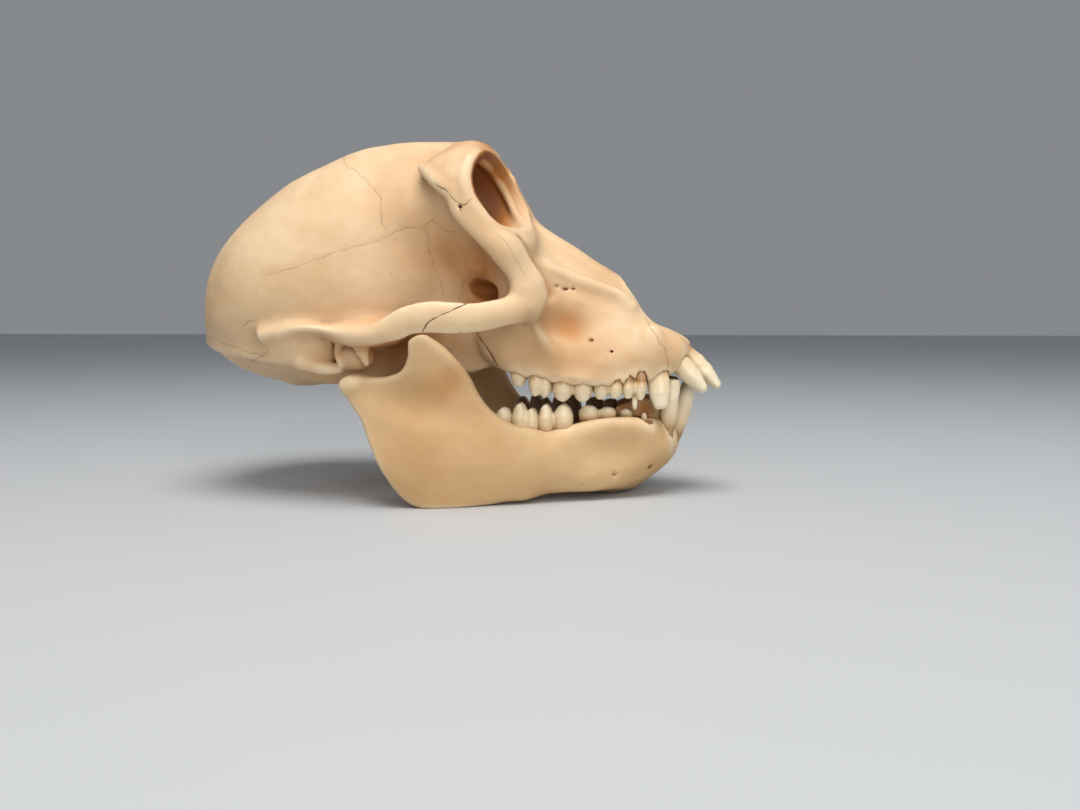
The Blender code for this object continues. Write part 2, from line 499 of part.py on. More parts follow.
def rings_to_mesh(name, rings):
    """A closed body through rings of points given in millimetres."""
    body = bmesh.new()
    loops = [[body.verts.new(Vector(p) * MM) for p in ring] for ring in rings]
    for low, high in zip(loops, loops[1:]):
        for i in range(len(low)):
            j = (i + 1) % len(low)
            body.faces.new((low[i], low[j], high[j], high[i]))
    body.faces.new(loops[0][::-1])
    body.faces.new(loops[-1])
    bmesh.ops.triangulate(body, faces=body.faces[:])
    bmesh.ops.recalc_face_normals(body, faces=body.faces[:])
    if body.calc_volume(signed=True) < 0.0:
        bmesh.ops.reverse_faces(body, faces=body.faces[:])
    mesh = bpy.data.meshes.new(name)
    body.to_mesh(mesh)
    body.free()
    return bpy.data.objects.new(name, mesh)


def molar_ridge(name, row, side):
    """One cross ridge of a cheek tooth: a root, a swollen crown and two cusps, one each side."""
    x, y, gum, tip, half_length, half_width = row
    up = 1.0 if tip > gum else -1.0
    height = abs(tip - gum)
    rings = []
    for level, size, dip in ((-ROOT_DEPTH, 0.45, 0.0), (0.0, 0.95, 0.0), (0.45 * height, 1.05, 0.0),
                             (0.8 * height, 0.82, 0.0), (height, 0.42, 0.25)):
        ring = []
        for n in range(TOOTH_SIDES):
            angle = 2.0 * math.pi * (n + 0.5) / TOOTH_SIDES
            along_row = math.copysign(abs(math.cos(angle)) ** TOOTH_SQUARE, math.cos(angle))
            across = math.copysign(abs(math.sin(angle)) ** TOOTH_SQUARE, math.sin(angle))
            lift = level - dip * half_width * (1.0 - across * across)
            ring.append((x + size * half_length * along_row,
                         side * (y + size * half_width * across),
                         gum + up * lift))
        rings.append(ring)
    return rings_to_mesh(name, rings)


def front_tooth(name, row, side):
    """A canine or incisor: a round root, a swollen crown and a narrow edge."""
    root, tip, half_across, half_deep, edge = row
    root, tip = Vector(root), Vector(tip)
    axis = (tip - root).normalized()
    across = Vector((0.0, 1.0, 0.0))
    across = (across - across.dot(axis) * axis).normalized()
    deep = axis.cross(across)
    rings = []
    for t, wide, depth in ((0.0, 0.6, 0.6), (0.35, 0.85, 0.95), (0.62, 1.0, 1.0), (0.85, 0.9, 0.7), (1.0, 0.0, 0.2)):
        centre = root.lerp(tip, t)
        half = half_across * wide if wide else edge
        ring = []
        for n in range(TOOTH_SIDES):
            angle = 2.0 * math.pi * (n + 0.5) / TOOTH_SIDES
            p = centre + across * half * math.cos(angle) + deep * half_deep * depth * math.sin(angle)
            ring.append((p.x, side * p.y, p.z))
        rings.append(ring)
    return rings_to_mesh(name, rings)


def move_to_origin(obj):
    """Puts the middle of the skull over the origin."""
    obj.data.transform(Matrix.Translation((-MIDDLE_X * MM, 0.0, 0.0)))


def join(obj, pieces, operation="UNION"):
    """One Boolean with all the pieces, which are then removed."""
    group = bpy.data.collections.new(obj.name + "_pieces")
    bpy.context.scene.collection.children.link(group)
    for piece in pieces:
        group.objects.link(piece)
    union = obj.modifiers.new("join", "BOOLEAN")
    union.operation = operation
    union.operand_type = "COLLECTION"
    union.collection = group
    union.solver = "EXACT"
    bpy.context.view_layer.update()
    apply_modifiers(obj)
    for piece in pieces:
        mesh = piece.data
        bpy.data.objects.remove(piece)
        bpy.data.meshes.remove(mesh)
    bpy.data.collections.remove(group)


def keep_largest(obj):
    """Drops every closed surface but the largest."""
    body = bmesh.new()
    body.from_mesh(obj.data)
    left, groups = set(body.verts), []
    while left:
        stack, group = [left.pop()], []
        while stack:
            vert = stack.pop()
            group.append(vert)
            for edge in vert.link_edges:
                other = edge.other_vert(vert)
                if other in left:
                    left.remove(other)
                    stack.append(other)
        groups.append(group)
    groups.sort(key=len)
    bmesh.ops.delete(body, geom=[v for group in groups[:-1] for v in group], context="VERTS")
    body.to_mesh(obj.data)
    body.free()


def level_floor(obj):
    """Cuts the bone off at the floor, which leaves the small flats it stands on."""
    body = bmesh.new()
    body.from_mesh(obj.data)
    geometry = body.verts[:] + body.edges[:] + body.faces[:]
    cut = bmesh.ops.bisect_plane(body, geom=geometry, plane_co=(0.0, 0.0, 0.0), plane_no=(0.0, 0.0, 1.0),
                                 clear_inner=True, dist=1e-6)
    edges = [item for item in cut["geom_cut"] if isinstance(item, bmesh.types.BMEdge)]
    bmesh.ops.holes_fill(body, edges=edges, sides=0)
    bmesh.ops.triangulate(body, faces=body.faces[:])
    body.to_mesh(obj.data)
    body.free()


def bone_material(name, colour, roughness):
    material = bpy.data.materials.new(name)
    material.use_nodes = True
    surface = material.node_tree.nodes["Principled BSDF"]
    surface.inputs["Base Color"].default_value = (*colour, 1.0)
    surface.inputs["Roughness"].default_value = roughness
    surface.inputs["Metallic"].default_value = 0.0
    return material


def bone_object(name, field, triangles, molars, front, colour):
    obj = bpy.data.objects.new(name, field.mesh(name))
    bpy.context.scene.collection.objects.link(obj)
    keep_largest(obj)
    reduce_to(obj, triangles)
    pieces = []
    for side in (1.0, -1.0):
        for i, row in enumerate(molars):
            pieces.append(molar_ridge(f"{name}_ridge_{i}", row, side))
        for i, row in enumerate(front):
            pieces.append(front_tooth(f"{name}_front_{i}", row, side))
    join(obj, pieces)
    keep_largest(obj)
    obj.data.materials.clear()
    obj.data.materials.append(bone_material(name + "_bone", colour, 0.55))
    obj.data.shade_smooth()
    obj.data.set_sharp_from_angle(angle=math.radians(50.0))
    return obj


def main():
    for obj in list(bpy.data.objects):
        bpy.data.objects.remove(obj)
    skull = bone_object("cranium", cranium_field(GRID), CRANIUM_TRIANGLES, UPPER_MOLARS, UPPER_FRONT,
                        (0.80, 0.62, 0.45))
    jaw = bone_object("mandible", mandible_field(GRID), MANDIBLE_TRIANGLES, LOWER_MOLARS, LOWER_FRONT,
                      (0.78, 0.60, 0.41))
    level_floor(jaw)
    for obj in (skull, jaw):
        move_to_origin(obj)


main()
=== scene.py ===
"""Skull of a young baboon: the detailed bones and teeth, their materials, light and camera.

The bones are worked out on a fine grid of distances in millimetres, with x measured from MIDDLE_X behind the
middle of the skull, and are then given seams, pores and stains. Every piece is in the frame of the solids.
"""

import math

import bpy
import numpy as np
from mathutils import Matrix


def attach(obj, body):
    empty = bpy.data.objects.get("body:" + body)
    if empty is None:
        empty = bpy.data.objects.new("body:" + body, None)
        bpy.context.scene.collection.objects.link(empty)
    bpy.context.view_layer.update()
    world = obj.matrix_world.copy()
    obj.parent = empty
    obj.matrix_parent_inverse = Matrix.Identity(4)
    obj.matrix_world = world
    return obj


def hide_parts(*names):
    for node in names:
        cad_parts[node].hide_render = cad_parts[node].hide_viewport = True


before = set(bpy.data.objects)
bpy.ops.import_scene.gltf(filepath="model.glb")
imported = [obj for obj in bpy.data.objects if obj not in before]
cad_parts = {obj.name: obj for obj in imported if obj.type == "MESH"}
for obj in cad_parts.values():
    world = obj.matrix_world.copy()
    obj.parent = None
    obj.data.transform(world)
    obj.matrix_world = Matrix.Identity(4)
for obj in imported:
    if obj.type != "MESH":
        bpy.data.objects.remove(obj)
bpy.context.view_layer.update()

import openvdb
from mathutils import Matrix, Vector

MM = 0.001
MIDDLE_X = 2.3      # x of the middle of the skull's length in the tables below
FAR = 12.0          # distance given to points well away from bone
BONE_GRID = 0.5
TOOTH_GRID = 0.22
SOCKET_GAP = 0.12   # space between a tooth and its socket
LATTICE = 32        # cells along each side of a noise lattice, which repeats

# Fine relief: height, size and seed of each ripple on the bone, then the depth of a seam
RIPPLES = ((0.16, 9.0, 3), (0.07, 3.0, 4), (0.03, 1.3, 5))
SEAM_DEPTH = 0.16
TOOTH_BUMP, TOOTH_BUMP_SIZE, TOOTH_BUMP_SEEDS = 0.11, 1.7, (11, 12, 13)
CROWN_START, CROWN_SHARE = 0.34, 0.5        # where a front tooth's crown begins, and its share of the length
FILL_REACHES = (1.5, 4.0, 9.0)              # how far around a point its hollows are measured

# Colours of the bone; the deep colour is also the painted shade in its hollows
SKULL_COLOURS = ((0.73, 0.53, 0.33), (0.60, 0.38, 0.195), (0.20, 0.08, 0.024))     # light, mid and deep
JAW_COLOURS = ((0.69, 0.475, 0.25), (0.57, 0.355, 0.165), (0.20, 0.08, 0.024))
CREST = (0.80, 0.63, 0.41)
WARM = (0.56, 0.32, 0.13)
# Brown of the stains and of the painted shade, then the darker brown of the deepest painted shade and stains
STAIN_AND_SHADE_BROWN = (0.46, 0.18, 0.04)
DEEP_SHADE_AND_STAIN_BROWN = (0.17, 0.04, 0.004)
SEAM = (0.14, 0.06, 0.025)
# Colours of a tooth from its root up to its tip, its streaks, and the painted shade on its inner face
ENAMEL = (
    (0.0, (0.36, 0.19, 0.075)), (0.12, (0.60, 0.41, 0.22)), (0.3, (0.74, 0.58, 0.37)),
    (0.7, (0.80, 0.68, 0.47)), (1.0, (0.82, 0.72, 0.53)),
)
ENAMEL_STREAKS = (0.62, 0.46, 0.27)
ENAMEL_INNER_SHADE = (0.16, 0.07, 0.025)
# Strength of the brown stain with painted shade under the brow on the eye sockets' walls
ORBIT_STAIN_AND_SHADE = 1.8       # strength of the stain inside the eye sockets

# Lamps: name, place, size, power, colour
LAMP_TARGET = (0.0, 0.0, 0.05)
LAMPS = (
    ("overhead", (0.06, -0.26, 0.78), 0.5, 6.3, (1.0, 0.98, 0.95)),
    ("front_fill", (0.30, -0.85, 0.40), 0.6, 3.5, (1.0, 0.97, 0.93)),
)
WORLD_COLOUR, WORLD_STRENGTH = (0.80, 0.83, 0.88), 0.3
FLOOR_COLOUR, FLOOR_HALF = (0.50, 0.52, 0.54), 3.0
# Camera: place, turn to the left and down in degrees, focal length and sensor width in millimetres
CAMERA_PLACE = (0.056304, -0.300127, 0.051481)
CAMERA_YAW, CAMERA_PITCH = 6.2, 4.9
FOCAL_LENGTH, SENSOR_WIDTH = 33.33, 36.0

# Braincase
BRAIN_CENTRE = (-30.0, 66.0)    # x, z of the middle of the vault
VAULT_WALL = 2.6                # thickness of the vault bone
FORAMEN_RADIUS = 7.5            # foramen magnum
# Outline of the vault in the midline, x and z, from the forehead backwards and under to the front
BRAIN_OUTLINE = (
    (7.0, 102.0), (-8.0, 103.9), (-21.5, 102.6), (-33.5, 98.6), (-45.5, 92.8), (-57.0, 84.6),
    (-67.0, 74.6), (-72.6, 64.0), (-74.2, 53.0), (-72.6, 44.0), (-64.0, 36.6), (-50.0, 32.4),
    (-36.0, 32.4), (-18.0, 37.5), (-3.0, 45.5), (6.0, 57.0), (10.0, 72.0), (11.0, 90.0),
)
# Half width of the vault at stations along x
BRAIN_WIDTHS = (
    (-80.0, 40.0), (-60.0, 39.8), (-42.0, 38.8), (-28.0, 37.2), (-14.0, 33.4), (-2.0, 28.6), (12.0, 25.5),
)

# Face: midline height of the nose, height of the tooth-bearing edge, and half widths between the two
NOSE_TOP = (
    (12.0, 99.0), (15.0, 96.0), (19.0, 88.0), (25.4, 80.4), (38.0, 71.8), (50.0, 64.2), (54.0, 61.0),
    (57.5, 55.5), (62.0, 51.0), (68.0, 47.0), (72.0, 44.5),
)
GUM_EDGE = (
    (14.0, 39.6), (20.0, 36.2), (31.0, 33.9), (40.0, 32.9), (51.0, 33.0), (59.0, 34.2), (64.0, 36.0),
    (68.0, 38.4), (72.0, 42.0),
)
FACE_LEVELS = (0.0, 0.06, 0.2, 0.38, 0.57, 0.74, 0.85, 0.94)     # from the tooth edge up to the nose
FACE_WIDTHS = {
    14.0: (18.5, 19.5, 21.5, 23.0, 22.0, 17.0, 8.0, 5.0),
    21.0: (22.6, 23.6, 25.2, 28.2, 30.0, 28.0, 13.0, 4.8),
    26.5: (23.2, 24.2, 24.4, 26.4, 27.6, 23.0, 12.6, 5.6),
    32.0: (23.4, 24.2, 23.8, 21.8, 19.4, 16.6, 11.4, 6.2),
    40.0: (23.0, 23.8, 22.6, 19.6, 16.2, 13.8, 10.4, 6.6),
    50.0: (21.2, 22.0, 21.0, 18.2, 14.9, 12.4, 9.6, 6.4),
    58.0: (18.8, 19.4, 18.4, 15.6, 13.2, 11.2, 9.6, 8.4),
    64.0: (14.6, 15.4, 15.4, 13.9, 12.2, 10.6, 9.4, 8.2),
    69.0: (8.6, 9.4, 10.2, 10.0, 9.4, 8.6, 7.6, 6.6),
}

# Sweeps: rows of x, y, z, half height, half thickness
ARCH = (
    (-46.0, 36.0, 47.2, 1.6, 2.0), (-36.0, 37.4, 48.2, 2.0, 2.6), (-25.0, 39.4, 48.0, 1.8, 3.2),
    (-20.0, 40.6, 47.3, 2.0, 2.8), (-15.6, 41.4, 47.4, 2.2, 2.5), (-11.8, 41.8, 48.1, 2.7, 2.2),
    (-7.8, 42.2, 49.5, 3.5, 2.0), (-4.0, 42.4, 51.2, 3.7, 1.9), (1.0, 42.2, 52.0, 4.0, 1.9),
    (7.0, 41.6, 51.9, 4.1, 1.9), (13.0, 40.2, 51.9, 3.8, 2.1), (19.2, 37.4, 53.0, 3.6, 2.6),
    (25.6, 32.0, 54.8, 3.8, 3.2),
)
CHEEK_BAR = (
    (3.6, 29.6, 93.0, 5.6, 2.2), (6.4, 33.0, 88.0, 4.4, 2.3), (8.5, 34.2, 84.0, 3.1, 2.2),
    (10.5, 34.8, 79.8, 3.0, 2.2), (15.9, 34.6, 74.0, 3.1, 2.2), (21.4, 33.2, 68.6, 3.5, 2.5),
    (25.4, 31.2, 62.6, 3.9, 2.9), (27.4, 28.8, 55.8, 4.0, 3.2),
)
BROW = (
    (7.4, 0.0, 98.4, 4.6, 6.8), (8.2, 10.0, 98.2, 4.4, 5.4), (7.8, 19.0, 97.2, 4.0, 4.6),
    (6.0, 26.0, 95.0, 3.6, 5.0), (2.4, 28.8, 91.8, 3.0, 5.8),
)
ORBIT = (
    (-6.0, 10.5, 79.5, 2.6, 2.6), (1.0, 13.4, 81.2, 6.6, 6.8), (6.5, 16.4, 83.0, 9.2, 11.2),
    (12.5, 18.6, 85.0, 10.2, 13.8), (19.0, 20.6, 87.3, 11.2, 15.8), (34.0, 25.0, 92.4, 13.4, 19.0),
)
ORBIT_WALL = 2.4
ORBIT_LOWER_RIM = (
    (20.6, 33.0, 70.4, 3.6, 2.8), (22.6, 27.0, 71.6, 3.6, 2.8), (24.2, 20.0, 73.4, 3.4, 2.6),
    (23.4, 12.0, 76.4, 3.0, 2.2), (20.4, 7.0, 82.0, 2.4, 1.6),
)

# Rounded lip around the eye socket
RIM = (
    (10.4, 31.4, 94.0, 1.5, 1.5), (9.2, 34.0, 88.6, 1.9, 1.9), (11.4, 34.8, 82.2, 1.9, 1.9),
    (16.6, 33.6, 76.0, 1.7, 1.7), (21.8, 27.4, 74.2, 1.5, 1.5), (23.6, 20.0, 75.0, 1.4, 1.4),
    (22.6, 12.4, 77.4, 1.3, 1.3), (19.6, 7.6, 82.0, 1.2, 1.2), (16.4, 6.4, 88.4, 1.2, 1.2),
    (13.4, 9.4, 93.8, 1.4, 1.4), (11.8, 17.0, 95.8, 1.5, 1.5), (11.2, 25.4, 96.0, 1.6, 1.6),
    (10.4, 31.4, 94.0, 1.5, 1.5),
)
# Sharp rear edge of the bar beside the eye socket
BAR_EDGE = (
    (-3.2, 28.8, 92.4, 1.0, 1.0), (-1.0, 31.8, 90.4, 1.1, 1.1), (2.0, 33.8, 87.6, 1.1, 1.1),
    (5.8, 34.8, 84.4, 1.1, 1.1), (7.0, 35.2, 80.8, 1.1, 1.1), (9.0, 35.4, 78.0, 1.1, 1.1),
    (14.2, 35.2, 73.0, 1.2, 1.2), (19.0, 34.6, 68.6, 1.2, 1.2), (22.4, 34.0, 64.2, 1.3, 1.3),
    (23.8, 33.6, 60.2, 1.4, 1.4),
)
# Ridge between the top and side of the muzzle
MUZZLE_RIDGE = (
    (30.4, 16.4, 65.6, 1.3, 1.3), (37.0, 13.6, 63.0, 1.4, 1.4), (43.6, 12.1, 60.8, 1.4, 1.4),
    (49.4, 11.3, 58.6, 1.3, 1.3), (52.8, 10.4, 55.4, 1.2, 1.2),
)
# Buttress from the cheek down to the first molar
CHEEK_ROOT = (
    (26.4, 30.6, 60.0, 2.4, 2.0), (28.4, 28.8, 54.5, 2.2, 2.0), (29.4, 26.2, 50.0, 2.0, 1.8),
    (30.4, 23.8, 45.4, 1.6, 1.5), (32.2, 22.0, 41.0, 1.0, 1.0),
)
# Groove below the eye socket
EYE_GROOVE = (
    (23.6, 29.4, 72.2, 1.4, 1.4), (26.6, 26.6, 67.4, 2.2, 2.2), (29.6, 22.8, 62.6, 2.6, 2.6),
    (31.6, 20.9, 59.0, 2.0, 2.0),
)
# Ridge around the back of the head, where the neck muscles began
NUCHAL_RIDGE = (
    (-75.0, 0.0, 46.0, 1.2, 1.2), (-71.6, 12.0, 45.2, 1.2, 1.2), (-64.4, 22.4, 43.8, 1.2, 1.2),
    (-55.4, 28.8, 42.4, 1.2, 1.2), (-46.0, 31.8, 41.2, 1.2, 1.2), (-36.0, 34.4, 40.4, 1.4, 1.4),
)
# Side outline of the wing plate behind the palate
PTERYGOID_OUTLINE = (
    (18.0, 62.0), (17.6, 41.0), (15.4, 38.8), (11.4, 37.0), (7.0, 35.8), (4.2, 37.4), (1.6, 41.0),
    (-2.0, 43.6), (-6.0, 46.5), (-9.0, 52.0), (-6.0, 60.0), (6.0, 66.0),
)
# Small holes: x, y, z, radius
CRANIUM_HOLES = (
    (30.0, 21.6, 59.4, 0.8), (32.4, 18.6, 60.8, 0.7), (34.6, 17.0, 60.0, 0.6), (36.6, 16.2, 60.1, 0.5),
    (42.0, 19.6, 45.6, 0.6), (48.4, 19.2, 42.4, 0.4), (26.6, 32.4, 52.0, 0.3), (8.6, 36.8, 81.0, 0.35),
)
MANDIBLE_HOLES = (
    (49.8, 18.4, 7.4, 0.8), (54.6, 15.6, 5.6, 0.5), (56.0, 14.6, 6.6, 0.6), (59.6, 11.6, 8.8, 0.8),
    (40.4, 21.6, 4.8, 0.4),
)

# Mandible: rows of x, y, z, half height, half thickness along the body, then the side outline of the ramus
JAW_BODY = (
    (-4.0, 32.6, 12.0, 9.2, 3.0), (6.0, 29.6, 11.4, 10.6, 3.9), (16.0, 26.0, 11.2, 10.2, 4.6),
    (26.0, 22.6, 10.6, 9.0, 4.9), (36.0, 19.4, 11.6, 9.7, 5.0), (45.0, 16.8, 13.0, 10.9, 5.1),
    (53.0, 12.6, 13.4, 11.0, 5.4), (57.4, 6.8, 12.9, 10.8, 5.8), (58.8, 0.0, 12.4, 11.2, 6.0),
)
RAMUS_OUTLINE = (
    (-24.4, 33.6), (-22.4, 29.6), (-19.0, 24.4), (-16.6, 18.0), (-13.8, 11.2), (-9.4, 4.4), (-3.4, 0.4),
    (4.0, -0.8), (12.0, 0.2), (19.0, 1.6), (26.0, 4.0), (27.0, 18.6), (21.0, 21.6), (16.2, 26.0),
    (12.4, 31.2), (9.4, 37.2), (4.6, 42.8), (0.6, 46.2), (-2.4, 47.4), (-5.6, 45.6), (-5.9, 41.4),
    (-7.8, 37.6), (-12.0, 36.0), (-18.4, 35.8), (-22.0, 35.4),
)
RAMUS_HALF_THICKNESS = 2.6

# Cheek teeth, back to front, each of one or two cross ridges:
# x, y, gum z, tip z, half length, half width, wear
UPPER_CHEEK = (
    ((22.2, 19.0, 37.4, 32.2, 2.4, 3.6, 0.0),),
    ((27.0, 19.5, 36.0, 29.5, 2.1, 4.2, 0.0), (29.6, 19.4, 35.6, 29.1, 2.0, 4.1, 0.0)),
    ((34.6, 19.0, 34.8, 28.0, 3.0, 4.2, 0.1), (40.2, 18.6, 34.2, 27.9, 2.8, 4.1, 0.1)),
    ((45.3, 17.7, 34.0, 28.2, 2.15, 3.5, 0.7), (49.3, 17.1, 34.0, 28.4, 2.05, 3.4, 0.7)),
    ((52.9, 16.1, 34.2, 28.3, 1.8, 2.8, 0.5), (56.4, 15.3, 34.6, 28.0, 1.75, 2.6, 0.3)),
)
LOWER_CHEEK = (
    ((18.0, 21.0, 21.0, 27.0, 2.4, 3.5, 0.0),),
    ((22.6, 20.4, 18.8, 28.4, 2.4, 3.9, 0.0), (25.8, 19.9, 19.2, 26.8, 2.2, 3.8, 0.0)),
    ((29.8, 19.2, 19.6, 28.0, 2.2, 3.8, 0.0), (34.7, 18.3, 20.6, 28.0, 2.75, 3.8, 0.1)),
    ((41.8, 16.2, 23.0, 27.9, 2.9, 2.4, 0.9), (47.0, 15.0, 23.8, 27.5, 2.5, 2.2, 1.0)),
    ((52.2, 12.8, 23.6, 26.4, 1.9, 1.7, 0.4),),
    ((57.4, 12.2, 22.4, 25.2, 0.9, 1.0, 0.2),),
)
# Size of a ridge at levels from its root up to its tip, and the valley between its cusps
CROWN_LEVELS = (-0.9, -0.4, 0.0, 0.3, 0.52, 0.8, 1.0)
CROWN_LENGTHS = (0.6, 0.76, 0.95, 1.02, 1.0, 0.74, 0.34)
CROWN_WIDTHS = (0.3, 0.5, 0.88, 1.0, 0.98, 0.82, 0.62)
CUSP_VALLEY = 0.25
# Front teeth: root x, y, z, tip x, y, z, half width, half depth, half width of the edge, edge thickness
UPPER_FRONT = (
    ((60.6, 11.2, 42.4), (62.2, 14.9, 26.0), 2.6, 3.3, 1.2, 1.7),
    ((54.9, 14.6, 33.0), (54.8, 16.0, 25.6), 0.9, 0.9, 0.4, 0.4),
    ((61.2, 8.0, 45.8), (75.0, 8.8, 30.7), 2.7, 3.0, 1.7, 1.1),
    ((64.2, 3.6, 46.8), (79.2, 3.8, 31.7), 3.2, 3.0, 2.9, 1.1),
)
LOWER_FRONT = (
    ((63.4, 7.6, 13.0), (65.7, 8.9, 34.2), 2.5, 2.6, 1.8, 2.1),
    ((64.2, 2.9, 11.0), (71.0, 2.9, 33.0), 2.6, 2.8, 2.3, 1.8),
)

# Seams and cracks in the side view: how dark each is, how much it wanders, and its x, z rows
SEAMS = (
    (0.3, 1.0, ((-34.0, 104.0), (-30.0, 98.4), (-25.5, 94.0), (-22.5, 92.5), (-18.0, 88.5), (-15.5, 85.5),
                 (-14.5, 83.0), (-14.0, 77.5), (-13.0, 75.5))),
    (0.26, 1.0, ((-44.0, 63.0), (-33.0, 66.5), (-22.0, 70.5), (-18.0, 71.5), (-13.5, 73.5), (-10.5, 75.5),
                (-8.0, 76.5), (-4.5, 76.5), (-2.5, 75.0), (-2.5, 70.0), (-1.5, 66.0), (0.0, 62.0),
                 (0.5, 58.0))),
    (0.26, 1.0, ((-3.0, 77.0), (-1.0, 78.5), (0.5, 77.5), (2.5, 75.5), (6.5, 75.5))),
    (0.7, 0.7, ((2.5, 87.0), (5.0, 85.5), (7.0, 83.0), (9.5, 81.5), (11.5, 82.5))),
    (1.0, 0.2, ((8.4, 82.2), (9.1, 79.8))),
    (1.0, 0.3, ((0.0, 48.6), (2.0, 51.0), (7.0, 53.5), (11.0, 55.5))),
    (1.0, 0.3, ((9.5, 48.0), (13.0, 43.5), (16.0, 38.5))),
    (0.4, 0.8, ((57.5, 52.0), (59.5, 48.5), (61.5, 45.5), (63.5, 42.5), (64.0, 38.0))),
    (0.3, 1.0, ((-66.5, 46.4), (-62.5, 45.4), (-58.5, 44.0), (-54.0, 42.6), (-45.5, 41.6))),
    (0.35, 1.0, ((-52.5, 50.0), (-48.0, 51.5))),
    (0.35, 1.0, ((-48.0, 45.0), (-45.5, 43.0), (-48.5, 41.0), (-53.0, 39.5))),
    (0.3, 1.0, ((-55.5, 41.0), (-50.5, 37.0))),
    (0.2, 0.8, ((17.5, 74.5), (21.0, 71.5), (23.5, 67.0), (26.0, 62.5))),
    (0.3, 0.6, ((5.0, 57.0), (7.0, 62.0), (10.5, 65.5))),
)
# Stains and painted shade: x, y, z, reach, strength, which is darkest brown at 2.
# The spots on the brow are stains; the dark spots in the temporal gap behind the eye socket, the ear hole
# and the recess in front of the ear are painted shade, and the spot in the eye socket is a stain with painted
# shade.
STAINS_AND_SHADE = (
    (12.0, 12.0, 101.0, 11.0, 0.95), (4.0, 22.0, 99.0, 10.0, 0.6), (14.0, 22.0, 97.0, 6.0, 0.8),
    (18.0, 4.0, 94.0, 8.0, 0.9), (37.0, 19.0, 50.0, 4.4, 1.0), (33.0, 21.0, 52.0, 5.0, 0.4),
    (28.0, 24.0, 65.0, 4.2, 0.5), (30.6, 21.0, 60.0, 2.6, 0.6), (13.0, 19.0, 60.0, 6.0, 1.7),
    (8.0, 24.0, 57.0, 6.0, 0.8), (-26.4, 36.0, 42.6, 2.6, 1.0), (-14.0, 33.0, 44.5, 7.0, 1.3),
    (-4.0, 31.0, 47.5, 6.0, 0.9), (64.0, 11.0, 42.0, 4.0, 0.25), (70.0, 6.0, 44.0, 3.0, 0.3),
    (-2.0, 31.0, 66.0, 12.0, 0.25), (20.0, 9.0, 88.0, 8.0, 0.7), (-10.0, 20.0, 42.0, 9.0, 1.4),
    (12.0, 26.0, 66.0, 7.0, 0.9), (4.0, 24.0, 68.0, 8.0, 0.5), (6.0, 34.0, 87.0, 3.0, 0.35),
    (24.0, 31.0, 44.0, 6.0, 0.25), (-10.0, 27.0, 43.0, 8.0, 1.7), (12.0, 22.0, 63.0, 5.0, 1.7),
    (45.0, 22.5, 40.0, 8.0, 0.28), (55.0, 19.5, 40.0, 6.0, 0.2), (36.0, 23.5, 40.0, 7.0, 0.28),
)
# Painted shade and painted light: places made darker (positive strength) or paler (negative) than their
# painted hollow shade makes them: x, y, z, reach, strength
PAINTED_SHADE_AND_LIGHT = (
    (8.0, 18.0, 45.0, 9.0, -0.7), (26.5, 32.0, 52.4, 3.2, 0.5), (41.0, 23.0, 42.0, 5.0, 0.12),
    (-20.0, 34.0, 18.0, 9.0, -0.2),
)
# Stains and painted shade on the mandible, in the same columns: the orange on the ramus is a stain, and the
# dark spots inside the jaw behind the front teeth are painted shade over an orange stain
JAW_STAINS_AND_SHADE = (
    (57.0, 9.5, 25.0, 3.6, 1.3), (58.0, 11.0, 21.0, 3.0, 0.9), (62.0, 9.0, 10.0, 4.0, 0.3),
    (4.0, 34.0, 34.0, 6.0, 0.8), (8.0, 33.0, 28.0, 8.0, 0.35), (0.0, 36.0, 20.0, 14.0, 0.2),
    (30.0, 20.0, 22.0, 5.0, 0.25), (50.0, 14.0, 24.0, 5.0, 0.4), (52.0, 9.0, 24.0, 6.0, 1.5),
)


def blend_min(a, b, k):
    """Union of two distances, rounded over k."""
    h = np.clip(0.5 + 0.5 * (b - a) / k, 0.0, 1.0)
    return b + (a - b) * h - k * h * (1.0 - h)


def blend_max(a, b, k):
    return -blend_min(-a, -b, k)


def smooth_through(points, per=5, closed=False):
    """Points on a smooth curve through the given rows, per steps from each row to the next."""
    rows = np.array(points, float)
    count = len(rows)
    out = []
    for i in range(count if closed else count - 1):
        if closed:
            a, b, c, d = (rows[(i + n) % count] for n in (-1, 0, 1, 2))
        else:
            b, c = rows[i], rows[i + 1]
            a = rows[i - 1] if i else 2.0 * b - c
            d = rows[i + 2] if i + 2 < count else 2.0 * c - b
        for t in np.arange(per) / per:
            out.append(0.5 * (2 * b + (c - a) * t + (2 * a - 5 * b + 4 * c - d) * t**2
                              + (3 * b - a - 3 * c + d) * t**3))
    if not closed:
        out.append(rows[-1])
    return np.array(out)


def along(stations, x):
    """Value at x on a smooth curve through rows of x and value."""
    curve = smooth_through(stations, 6)
    order = np.argsort(curve[:, 0])
    return np.interp(x, curve[order, 0], curve[order, 1])


def oval(p, radii):
    """Distance to an ellipsoid about the origin, from the three coordinates in its own axes."""
    k0 = np.sqrt(sum((p[i] / radii[i]) ** 2 for i in range(3))) + 1e-6
    k1 = np.sqrt(sum((p[i] / radii[i] ** 2) ** 2 for i in range(3))) + 1e-6
    return k0 * (k0 - 1.0) / k1


def ellipsoid(centre, radii, turn=(0.0, 0.0, 0.0)):
    """Distance to an ellipsoid whose axes are turned by angles in degrees about x, y and z."""
    spin = np.eye(3)
    for axis, angle in zip("XYZ", turn):
        spin = np.array(Matrix.Rotation(math.radians(angle), 3, axis)) @ spin

    def distance(x, y, z):
        p = (x - centre[0], y - centre[1], z - centre[2])
        return oval([sum(spin[j][i] * p[j] for j in range(3)) for i in range(3)], radii)

    reach = max(radii)
    return distance, [c - reach for c in centre], [c + reach for c in centre]


